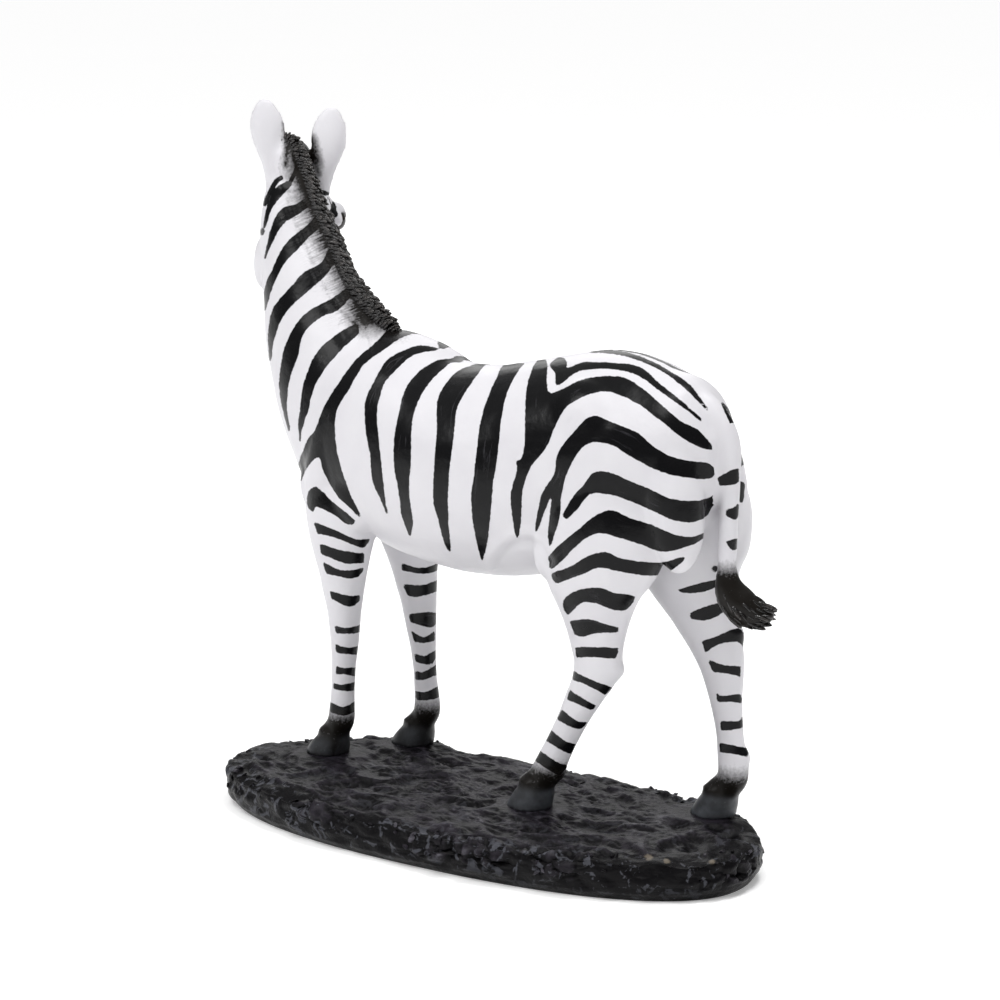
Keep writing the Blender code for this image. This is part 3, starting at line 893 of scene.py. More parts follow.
def roundedOutline(points, closed):  # a smooth line through the points
    points = np.array(points, float)
    ahead = np.roll(points, -1, axis=0)
    behind = np.roll(points, 1, axis=0)
    if not closed:
        behind[0] = points[0]
        ahead[-1] = points[-1]
    slopes = (ahead - behind) / 2
    found = []
    for i in range(len(points) if closed else len(points) - 1):
        j = (i + 1) % len(points)
        for t in (0, 0.33, 0.67):
            found.append(curvePoint(t, points[i], slopes[i], points[j], slopes[j]))
    if not closed:
        found.append(points[-1])
    return np.array(found)


def gatherMarks(bands, outlines=()):  # closed outlines of all marks
    found = []
    for first, second in bands:
        first = roundedOutline(first, False)
        second = roundedOutline(second, False)
        found.append(np.vstack([first, second[::-1]]))
    found.extend(roundedOutline(outline, True) for outline in outlines)
    return found


def nearLine(places, line, margin):  # which places lie in the line's box, grown by the margin
    inside = (places > line.min(axis=0) - margin) & (places < line.max(axis=0) + margin)
    return np.nonzero(inside.all(axis=1))[0]


def markDistance(places, outlines, strokes=(), margin=14.0):  # to the nearest edge, negative inside
    found = np.full(len(places), margin)
    for outline in outlines:
        near = nearLine(places, outline, margin)
        reach = pathDistance(places[near], np.vstack([outline, outline[:1]]))[0]
        reach = np.where(insideOutline(places[near], outline), -reach, reach)
        found[near] = np.minimum(found[near], reach)
    for half, path in strokes:
        path = roundedOutline(path, False)
        near = nearLine(places, path, margin)
        found[near] = np.minimum(found[near], pathDistance(places[near], path)[0] - half)
    return found


def loftCloseness(points, centres, sides, sideAxis):  # 1 on a loft's surface, less inside it
    directions = np.gradient(centres, axis=0)
    directions /= np.linalg.norm(directions, axis=1)[:, None]
    best = np.full(len(points), 1e9)
    found = np.full(len(points), 9.0)
    for centre, direction, (half, upper, lower) in zip(centres, directions, sides):
        across = unit(np.array(sideAxis) - direction * np.dot(sideAxis, direction))
        up = np.cross(direction, across)
        rel = points - centre
        off = np.abs(rel @ direction) + 0.15 * np.linalg.norm(rel, axis=1)
        depth = rel @ up
        close = np.hypot((rel @ across) / half, depth / np.where(depth > 0, upper, lower))
        close = np.hypot(close, np.maximum(np.abs(rel @ direction) - 2, 0) / 4)
        nearer = off < best
        best = np.where(nearer, off, best)
        found = np.where(nearer, close, found)
    return found


neckMiddle = ((161, 181, 201, 219, 233, 243, 259), (0, 0.5, 3, 6.5, 9, 10.5, 11))  # heights, its y


def viewSides(points, normals):  # places folded to the left side, and how they face the camera
    middle = np.interp(points[:, 2], *neckMiddle) * (points[:, 0] < -60)
    folded = points.copy()
    right = points[:, 1] > middle
    folded[right, 1] = 2 * middle[right] - points[right, 1]
    away = np.array(photoView["lensPlace"]) - (points + figure["stance"])
    facing = (normals * away).sum(axis=1) / np.linalg.norm(away, axis=1)
    return folded, right, facing


def headCoordinates(points):  # along the face, out of it, to the left, and round from the forehead
    face, left, brow, _ = headAxes()
    rel = points - np.array(figure["poll"])
    along, out, aside = rel @ face, rel @ brow, rel @ left
    return along, out, aside, 13 * np.arctan2(np.abs(aside), out)


def headShare(points):  # 1 on the head, 0 on the neck
    face, left, _, _ = headAxes()
    rows = smoothRows([(t, 0, 0, half, up, down) for t, half, up, down in headRows], 3)
    centres = np.array([np.array(figure["poll"]) + face * row[0] for row in rows])
    headClose = loftCloseness(points, centres, rows[:, 3:], left)
    rows = smoothRows(neckRows, 3)
    neckClose = loftCloseness(points, rows[:, :3], rows[:, 3:], (0, 1, 0))
    return ramp(neckClose - headClose, -0.05, 0.25) * (points[:, 2] > 185)


def tailShare(points):
    rows = smoothRows(tailRows, 3)
    sides = [(r, r, r) for r in rows[:, 3]]
    close = loftCloseness(points, rows[:, :3], sides, (0, 1, 0))
    return (close < 1.5) & (points[:, 0] > 109) & (points[:, 2] < 172)


def drawnPixels(points):  # pixel places of drawn points
    return toPhoto(points + figure["stance"])


def stripeDistance(points, normals):  # mm to the nearest black mark's edge, negative in the black
    folded, right, facing = viewSides(points, normals)
    foldedPx = drawnPixels(folded)
    straightPx = drawnPixels(points)
    bands = bodyBands + leftForeBands + leftHindBands
    found = markDistance(foldedPx, gatherMarks(bands, bodyOutlines), bodyStrokes)
    x, y, z = points.T
    seen = right & (x > 90) & (z > 108)
    own = markDistance(straightPx[seen], gatherMarks(buttockBands))
    spine = markDistance(straightPx[seen], gatherMarks(bodyBands[-1:], bodyOutlines[2:3]))
    own = own + (np.minimum(own, spine) - own) * ramp(z[seen], 166, 178)
    share = ramp(x[seen], 92, 102) * ramp(facing[seen], -0.15, 0.12)
    found[seen] += (own - found[seen]) * share
    for name, marks in (("rightFore", rightForeBands), ("rightHind", rightHindBands)):
        top = legs[name][2]
        inLeg = (y > 2) & (z < top + 6) & ((x < 0) == (name == "rightFore"))
        own = markDistance(straightPx[inLeg], gatherMarks(marks))
        found[inLeg] += (own - found[inLeg]) * ramp(z[inLeg], top + 6, top - 6)
    tail = tailShare(points)
    found[tail] = markDistance(straightPx[tail], gatherMarks(tailBands))
    onHead = headShare(points)
    along, _, aside, girth = headCoordinates(points)
    near = np.nonzero(onHead > 0)[0]
    places = np.stack([along[near], girth[near]], 1)
    own = markDistance(places, (), faceStrokes, 5.0) / markScale
    beyond = ramp(aside[near], 3, -2) * ramp(along[near], 5, 11)
    hidden = np.maximum(ramp(facing[near], 0.12, -0.12), beyond)
    found[near] += (own - found[near]) * hidden * onHead[near]
    arc = near[facing[near] > 0.25]
    found[arc] = np.minimum(found[arc], markDistance(straightPx[arc], (), (bodyStrokes[-1],)))
    return found * markScale


def earShare(points):  # 1 on both ears above their roots
    share = np.zeros(len(points))
    for side in (-1, 1):
        root, rise, back, across = earAxes(side)
        rel = points - root
        wide = np.abs(rel @ across)
        deep = np.abs(rel @ back - 1.5)
        inside = ramp(wide, 9.5, 8.0) * ramp(deep, 6.5, 5.0) * (np.abs(rel @ rise - 24) < 20)
        share = np.maximum(share, inside * ramp(rel @ rise, 6, 11))
    return share


def softShade(points, normals):  # airbrushed darkness from 0 to 1, with painted shade in the ears' hollows and along the neck's ridge groove
    folded, right, facing = viewSides(points, normals)
    foldedPx = drawnPixels(folded)
    straightPx = drawnPixels(points)
    x, _, z = points.T
    upper = (x < -45) & (z > 178)  # the neck and the head
    maneOutline = np.array(maneFoot + maneOuter, float)
    shade = np.zeros(len(points))
    near = np.nonzero(upper)[0]
    # the crown follows the photograph where it shows it, and the left side is folded over elsewhere
    crown = (z[near] > 232) & (facing[near] > 0) & (~right[near] | (z[near] > 250))
    places = np.where(crown[:, None], straightPx[near], foldedPx[near])
    reach = markDistance(places, [maneOutline], (), 30.0)
    onHead = headShare(points)
    crest = smoothRows(maneRows, 3)
    spread = np.hypot(*(points[near, None, :2] - crest[None, :, :2]).transpose(2, 0, 1)).min(axis=1)
    close = ramp(spread, 18, 12)  # only beside the mane
    soft = (1 - ramp(reach, 0, 30) ** 0.6) * (1 - 0.9 * onHead[near] * ramp(z[near], 252, 238))
    soft *= (1 - earShare(points[near])) * (1 - right[near] * ramp(z[near], 226, 238))
    ridge = (reach < 0) & (crown | (z[near] < 236))
    close *= np.where(right[near] & (z[near] > 238), ramp(z[near], 250, 258), 1)
    shade[near] = close * np.where(ridge, 1, np.maximum(soft, 0.9 * crown * ramp(reach, 14, 2)))
    forelock = ramp(z[near], 250, 258) * ramp(spread, 15, 9) * (1 - earShare(points[near]))
    forelock *= ramp(facing[near], 0.05, -0.25)
    shade[near] = np.maximum(shade[near], forelock)
    for half, path in airbrushed:
        stroke = markDistance(straightPx[near], (), ((half, path),), 9.0)
        dark = 0.95 * (1 - ramp(stroke, -3, 5)) * (facing[near] > -0.1)
        shade[near] = np.maximum(shade[near], dark)
    # painted shade: a thin dark line along the neck's ridge groove
    shadedGrooveReach = pathDistance(foldedPx[near], roundedOutline(neckRidge, False))[0]
    shade[near] += 0.2 * np.exp(-((shadedGrooveReach / 2.0) ** 2)) * (1 - onHead[near])
    muzzle = ramp(headCoordinates(points)[0], 57, 66) * (onHead > 0.3)
    shade = np.maximum(shade, muzzle)
    for side in (-1, 1):
        middle = headPlace(eye["along"], eye["out"], eye["aside"] * side)
        reach = np.linalg.norm(points - middle, axis=1) - eye["radius"]
        shade = np.maximum(shade, (1 - ramp(reach, 0.2, 1.5)) * (onHead > 0.2))
        root, rise, back, across = earAxes(side)
        rel = points - root
        t = rel @ rise
        # painted shade in the ear's hollow, darkest in its middle
        hollow = (np.abs(rel @ across) < 7) & (rel @ back < 3.2) & (normals @ back < -0.1)
        depth = 1 - 0.75 * ramp(np.abs(rel @ across), 1.5, 6.5)
        dark = 0.95 * hollow * depth * ramp(t, 8, 14) * ramp(t, 41, 30)
        shade = np.maximum(shade, dark * (np.linalg.norm(rel, axis=1) < 44))
    shade = np.maximum(shade, tailShare(points) * ramp(z, 119, 108))
    return np.maximum(shade, ramp(z, 27, 14) * 0.97)  # the pasterns


def skinRelief(points, normals):  # mm out of the smooth skin
    px = drawnPixels(viewSides(points, normals)[0])
    x, y, z = points.T
    relief = np.zeros(len(points))
    near = np.nonzero((x < -60) & (z > 178) & (headShare(points) < 0.5))[0]
    reach, side, along = pathDistance(px[near], roundedOutline(neckRidge, False))
    away = reach * side * markScale
    ends = ramp(along, 0, 12) * ramp(along, 158, 140)
    ridge = 0.5 * np.exp(-(((away + 0.9) / 1.1) ** 2)) - 0.45 * np.exp(-((away - 0.9) ** 2))
    relief[near] += ends * ridge
    near = np.nonzero((x > 0) & (x < 60) & (z < 125) & (z > 85))[0]
    reach, side, along = pathDistance(px[near], roundedOutline(flankFold, False))
    fold = reach * side * markScale
    relief[near] += 0.9 * np.exp(-(((fold + 4.0) / 2.6) ** 2)) - 1.0 * np.exp(-((fold / 1.8) ** 2))
    straightPx = drawnPixels(points)
    for place, reach, out, onRight in knobs:
        near = np.nonzero((z < 110) & (x > 20) & ((y > 2) == onRight))[0]
        away = np.linalg.norm(straightPx[near] - np.array(place), axis=1)
        relief[near] += out * np.exp(-((away / reach) ** 2))
    near = np.nonzero(z > 30)[0]
    lumps = [
        noise.noise(Vector(point) * 0.055) + 0.5 * noise.noise(Vector(point) * 0.12)
        for point in points[near]
    ]
    relief[near] += 0.35 * np.array(lumps)
    along, out, aside, _ = headCoordinates(points)
    onHead = headShare(points) > 0.5
    rim = np.hypot((along - eye["along"]) / 1.12, (out - eye["out"]) / 0.86)  # the eye's socket
    relief -= eye["socket"] * ramp(rim, 4.9, 3.3) * onHead * (np.abs(aside) > 9)
    nostril = ((along - 73) / 3.2) ** 2 + ((out - 2.5) / 2.2) ** 2 + ((np.abs(aside) - 8) / 3.5) ** 2
    relief -= 1.8 * np.exp(-nostril * 1.2) * onHead
    mouth = np.exp(-(((out + 5.5 + 0.12 * (78 - along)) / 0.8) ** 2)) * ramp(along, 55, 62)
    relief -= 0.7 * mouth * onHead
    return relief


def clipToBox(points):  # keeps a piece inside the solids' overall box
    low, high = (np.array(corner) * 1000 for corner in cadBox)
    return np.clip(points, low + 0.02, high - 0.02)


paint = {
    "white": "#e0dfe2",
    "whiteShade": "#d5d3d8",
    "black": "#09090b",
    # the black's lighter grey: thin coats of the brush, and partly a painted sheen
    "blackWornAndSheen": "#56555a",
    # airbrushed dark paint, also used as painted shade in the ears' hollows and along the neck's ridge
    # groove
    "airbrushAndShade": "#15120f",
    "hoof": "#54575c",
    "hair": "#0c0a09",
    "hairWorn": "#3f3b39",
    "edgeRagged": 0.26,
    "markGrowth": 0.42,  # how far the brush went past the marks' read edges, in mm
    "whiteRough": 0.36,
    "blackRough": 0.26,
    "skinSpecular": 0.18,
    "hairRough": 0.2,
}


def makeSkin():
    shells = gatherFigure()
    draft = meshObject("skinDraft", np.array(shells["points"]) + figure["stance"], shells["faces"])
    remesh = draft.modifiers.new("Fuse", "REMESH")
    remesh.mode = "VOXEL"
    remesh.voxel_size = figure["fuseVoxel"] * 0.001
    soften = draft.modifiers.new("Soften", "SMOOTH")
    soften.factor = 0.5
    soften.iterations = 4
    skin = plainMesh(draft, "zebraSkin")
    skin.data.shade_smooth()
    points = meshPoints(skin.data)
    normals = meshNormals(skin.data)
    drawn = points - figure["stance"]
    points += normals * skinRelief(drawn, normals)[:, None]
    points[:, 2] = np.maximum(points[:, 2], figureFoot - figure["soleSink"])
    setPoints(skin.data, clipToBox(points))
    print("skin done:", len(skin.data.polygons), "faces")
    return skin


def soleCentres():
    found = []
    for _, joints, _ in legs.values():
        x = joints[-1][0] - hoof["lean"] - (hoof["toe"] - hoof["heel"]) / 2
        found.append((x + figure["stance"][0], joints[-1][1] + figure["stance"][1]))
    return found


def paintSkin(skin):
    points = meshPoints(skin.data) - figure["stance"]
    normals = meshNormals(skin.data)
    storeValues(skin.data, "stripe", stripeDistance(points, normals) - paint["markGrowth"])
    storeValues(skin.data, "shade", softShade(points, normals))
    horn = ramp(points[:, 2], 11, 7) * np.where(points[:, 0] < -40, 0.5, 1.0)
    for x, y in soleCentres():
        toe = points - (x - figure["stance"][0], y - figure["stance"][1], 0)
        wedge = ramp(np.abs(toe[:, 1] + 3), 3.4 * (toe[:, 2] + 3) / 12, 0)  # a dark run down the toe
        wedge = wedge * ramp(toe[:, 0], -2, -5)
        horn = horn * (1 - 0.8 * wedge)
    storeValues(skin.data, "hoof", horn)
    folded, _, _ = viewSides(points, normals)
    reach, side, along = pathDistance(drawnPixels(folded), roundedOutline(maneFoot, False))
    mask = ramp(reach, 42, 16) * (points[:, 2] > 180) * (points[:, 0] < -50)
    mask = mask * (1 - headShare(points)) * ramp(points[:, 2], 246, 236)
    combed = np.stack([along * markScale, reach * side * markScale, mask], 1)
    storeValues(skin.data, "combed", combed)
    skin.data.materials.clear()
    skin.data.materials.append(paintMaterial())
    print("stripes painted")


def paintMaterial():
    # White cast resin under brushed satin black: worn streaks, partly painted sheen, in the stripes
    # and their ragged edges are what the eye goes to; the low lumps of the cast catch the soft light
    material, tree, shader = newMaterial("satin painted resin")
    place = addNode(tree, "ShaderNodeTexCoord").outputs["Object"]
    stripe, shade, horn = (
        addNode(tree, "ShaderNodeAttribute", {"attribute_name": name}).outputs["Fac"]
        for name in ("stripe", "shade", "hoof")
    )
    smoked = addNode(tree, "ShaderNodeTexNoise", {"Scale": 90, "Detail": 3}, {"Vector": place})
    clear = addNode(
        tree,
        "ShaderNodeMapRange",
        {"From Min": 0.38, "From Max": 0.58, "To Min": 0.45, "To Max": 1.0},
        {"Value": smoked.outputs["Fac"]},
    )
    hornShare = addNode(
        tree, "ShaderNodeMath", {"operation": "MULTIPLY"}, {0: horn, 1: clear.outputs[0]}
    )
    combed = addNode(tree, "ShaderNodeAttribute", {"attribute_name": "combed"}).outputs["Vector"]
    rough = addNode(tree, "ShaderNodeTexNoise", {"Scale": 700, "Detail": 2}, {"Vector": place})
    wide = addNode(tree, "ShaderNodeTexNoise", {"Scale": 170, "Detail": 1}, {"Vector": place})
    shifts = []
    size = paint["edgeRagged"] * 2.4
    for source in (rough, wide):
        centred = addNode(
            tree, "ShaderNodeMath", {"operation": "SUBTRACT", 1: 0.5}, {0: source.outputs["Fac"]}
        )
        scaled = addNode(
            tree, "ShaderNodeMath", {"operation": "MULTIPLY", 1: size}, {0: centred.outputs[0]}
        )
        shifts.append(scaled.outputs[0])
    wander = addNode(tree, "ShaderNodeMath", {"operation": "ADD"}, {0: shifts[0], 1: shifts[1]})
    edge = addNode(tree, "ShaderNodeMath", {"operation": "ADD"}, {0: stripe, 1: wander.outputs[0]})
    black = addNode(
        tree, "ShaderNodeMapRange", {"From Min": 0.14, "From Max": -0.14}, {"Value": edge.outputs[0]}
    )
    # the brush left thin and full coats in turn along the stripe, and their lighter grey is partly a
    # painted sheen
    slow = addNode(
        tree, "ShaderNodeVectorMath", {"operation": "SCALE", "Scale": 60.0}, {"Vector": place}
    )
    quick = addNode(tree, "ShaderNodeMath", {"operation": "MULTIPLY", 1: 0.75}, {0: stripe})
    streak = addNode(
        tree,
        "ShaderNodeTexNoise",
        {"noise_dimensions": "4D", "Scale": 1.0, "Detail": 4, "Roughness": 0.65},
        {"Vector": slow.outputs[0], "W": quick.outputs[0]},
    )
    wornAndSheen = addNode(
        tree,
        "ShaderNodeMapRange",
        {"From Min": 0.6, "From Max": 0.95},
        {"Value": streak.outputs["Fac"]},
    )
    blackTone = addNode(
        tree,
        "ShaderNodeMix",
        {"data_type": "RGBA", 6: hexColour(paint["black"]), 7: hexColour(paint["blackWornAndSheen"])},
        {0: wornAndSheen.outputs[0]},
    )
    cloud = addNode(tree, "ShaderNodeTexNoise", {"Scale": 55, "Detail": 3}, {"Vector": place})
    whiteTone = addNode(
        tree,
        "ShaderNodeMix",
        {"data_type": "RGBA", 6: hexColour(paint["white"]), 7: hexColour(paint["whiteShade"])},
        {0: cloud.outputs["Fac"]},
    )
    striped = addNode(
        tree,
        "ShaderNodeMix",
        {"data_type": "RGBA"},
        {0: black.outputs[0], 6: whiteTone.outputs[2], 7: blackTone.outputs[2]},
    )
    # the airbrushed dark, which also carries the painted shade of the ears' hollows and the neck's ridge
    # groove, breaks up into speckle at its edge
    speckle = addNode(tree, "ShaderNodeTexNoise", {"Scale": 900, "Detail": 2}, {"Vector": place})
    spread = addNode(
        tree,
        "ShaderNodeMath",
        {"operation": "MULTIPLY_ADD", 1: 0.5, 2: -0.25},
        {0: speckle.outputs["Fac"]},
    )
    combPlace = addNode(
        tree, "ShaderNodeVectorMath", {"operation": "MULTIPLY", 1: (1.3, 0.16, 0)}, {0: combed}
    )
    hair = addNode(
        tree, "ShaderNodeTexNoise", {"Scale": 1.0, "Detail": 2}, {"Vector": combPlace.outputs[0]}
    )
    mask = addNode(tree, "ShaderNodeSeparateXYZ", {}, {0: combed})
    centred = addNode(
        tree, "ShaderNodeMath", {"operation": "SUBTRACT", 1: 0.5}, {0: hair.outputs["Fac"]}
    )
    combedHair = addNode(
        tree, "ShaderNodeMath", {"operation": "MULTIPLY"}, {0: centred.outputs[0], 1: mask.outputs[2]}
    )
    combedShade = addNode(
        tree,
        "ShaderNodeMath",
        {"operation": "MULTIPLY_ADD", 1: 0.9},
        {0: combedHair.outputs[0], 2: shade},
    )
    sprayedAndShaded = addNode(
        tree, "ShaderNodeMath", {"operation": "ADD"}, {0: combedShade.outputs[0], 1: spread.outputs[0]}
    )
    darkness = addNode(
        tree, "ShaderNodeMapRange", {"From Min": 0.12, "From Max": 0.9}, {"Value": sprayedAndShaded.outputs[0]}
    )
    brushed = addNode(
        tree,
        "ShaderNodeMix",
        {"data_type": "RGBA", 7: hexColour(paint["airbrushAndShade"])},
        {0: darkness.outputs[0], 6: striped.outputs[2]},
    )
    finished = addNode(
        tree,
        "ShaderNodeMix",
        {"data_type": "RGBA", 7: hexColour(paint["hoof"])},
        {0: hornShare.outputs[0], 6: brushed.outputs[2]},
    )
    tree.links.new(finished.outputs[2], shader.inputs["Base Color"])
    sheen = addNode(
        tree,
        "ShaderNodeMapRange",
        {"To Min": paint["whiteRough"], "To Max": paint["blackRough"]},
        {"Value": black.outputs[0]},
    )
    tree.links.new(sheen.outputs[0], shader.inputs["Roughness"])
    shader.inputs["Specular IOR Level"].default_value = paint["skinSpecular"]
    # relief in mm: the cast's lumps, the paint's thickness, its streaks, hair engraved by the mane
    lump = addNode(tree, "ShaderNodeTexNoise", {"Scale": 260, "Detail": 2}, {"Vector": place})
    height = None
    for source, depth in (
        (lump.outputs["Fac"], 0.14),
        (black.outputs[0], 0.06),
        (streak.outputs["Fac"], 0.04),
        (combedHair.outputs[0], 0.7),
    ):
        part = addNode(tree, "ShaderNodeMath", {"operation": "MULTIPLY", 1: depth}, {0: source})
        if height:
            sources = {0: height, 1: part.outputs[0]}
            part = addNode(tree, "ShaderNodeMath", {"operation": "ADD"}, sources)
        height = part.outputs[0]
    relief = addNode(tree, "ShaderNodeBump", {"Strength": 1.0, "Distance": 0.001}, {"Height": height})
    tree.links.new(relief.outputs[0], shader.inputs["Normal"])
    return material


skin = makeSkin()
paintSkin(skin)
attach(skin, "root")
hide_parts("zebra_figure")


# The eyes
def makeEyes():
    shells = {"points": [], "faces": []}
    for side in (-1, 1):
        middle = headPlace(eye["along"], eye["out"], eye["aside"] * side) + np.array(figure["stance"])
        addBall(shells, middle, np.eye(3), (eye["radius"],) * 3)
    eyes = meshObject("eyes", shells["points"], shells["faces"])
    # Clear gloss over dark brown: the window's reflection is all that shows
    material, _, shader = newMaterial("gloss brown enamel")
    shader.inputs["Base Color"].default_value = hexColour(eye["colour"])
    shader.inputs["Roughness"].default_value = eye["rough"]
    eyes.data.materials.append(material)
    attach(eyes, "root")
    print("eyes done")


makeEyes()

# Hair: rows of guide lines on the mane's ridge and the tail's tuft, with a lock at every step
tuft = {
    "top": 112,  # where it starts on the tail
    "spacing": 3.0,
    "lockLength": 6.5,
    "endGap": 5.0,  # how far before the tail's end the last locks start, in mm
    "lockWidth": 1.5,
    "lockThickness": 1.0,
    "lockBend": 0.6,
    "lines": 11,
    "seed": 7,
}


def maneGuides():  # lines with the hair's direction, the way it lies and its size
    rows = smoothRows(maneRows, 6)
    taper = maneTaper(rows)
    along = np.gradient(rows[:, :3], axis=0)
    slim = np.interp(pathLength(rows), *mane["crownSlim"])
    guides = []
    for aside, up in mane["rows"]:
        for side in ((-1, 1) if aside else (1,)):
            line = []
            for row, direction, thin, narrow in zip(rows, along, taper, slim):
                direction = unit(direction)
                across = unit(np.array((0, 1.0, 0)) - direction * direction[1])
                out = np.cross(direction, across)
                height = (row[3] - mane["underLocks"]) * thin
                reach = math.sqrt(max(1 - up**2, 0)) * aside * side * mane["halfWidth"] * thin * narrow
                inward = across * side * aside * (0.03 - 0.6 * up**3)
                lean = out * (0.9 - 0.5 * up**3) + inward + direction * (0.4 + 0.7 * up**3)
                place = row[:3] + across * reach + out * height * up
                line.append((place, unit(lean), across, (0.55 + 0.45 * thin) * (0.7 + 0.3 * narrow)))
            guides.append(line)
    return guides


def tuftGuides():
    rows = smoothRows(tailRows, 6)
    left = np.linalg.norm(rows[:, :3] - rows[-1, :3], axis=1)  # to the tail's end
    rows = rows[(rows[:, 2] < tuft["top"]) & (left > tuft["endGap"])]
    along = np.gradient(rows[:, :3], axis=0)
    slope = np.gradient(rows[:, 3]) / np.linalg.norm(along, axis=1)
    guides = []
    for turn in np.arange(tuft["lines"]) * 2 * math.pi / tuft["lines"]:
        line = []
        for row, direction, widening in zip(rows, along, slope):
            direction = unit(direction)
            across = unit(np.array((0, 1.0, 0)) - direction * direction[1])
            out = across * math.cos(turn) + np.cross(direction, across) * math.sin(turn)
            place = row[:3] + out * (row[3] * 0.86)
            lean = unit(direction + out * (0.05 + 0.8 * min(widening, 0)))
            line.append((place, lean, np.cross(lean, out), 0.55 + 0.45 * min(row[3] / 7, 1)))
        guides.append(line)
    return guides


def newShapeTree(name, ground, sizes, result):  # an empty tree and its named inputs
    tree = bpy.data.node_groups.new(name, "GeometryNodeTree")
    kinds = {ground: "Geometry", **dict.fromkeys(sizes, "Float"), "Seed": "Int", "Finish": "Material"}
    for given, kind in kinds.items():
        tree.interface.new_socket(name=given, in_out="INPUT", socket_type="NodeSocket" + kind)
    tree.interface.new_socket(name=result, in_out="OUTPUT", socket_type="NodeSocketGeometry")
    return tree, addNode(tree, "NodeGroupInput").outputs


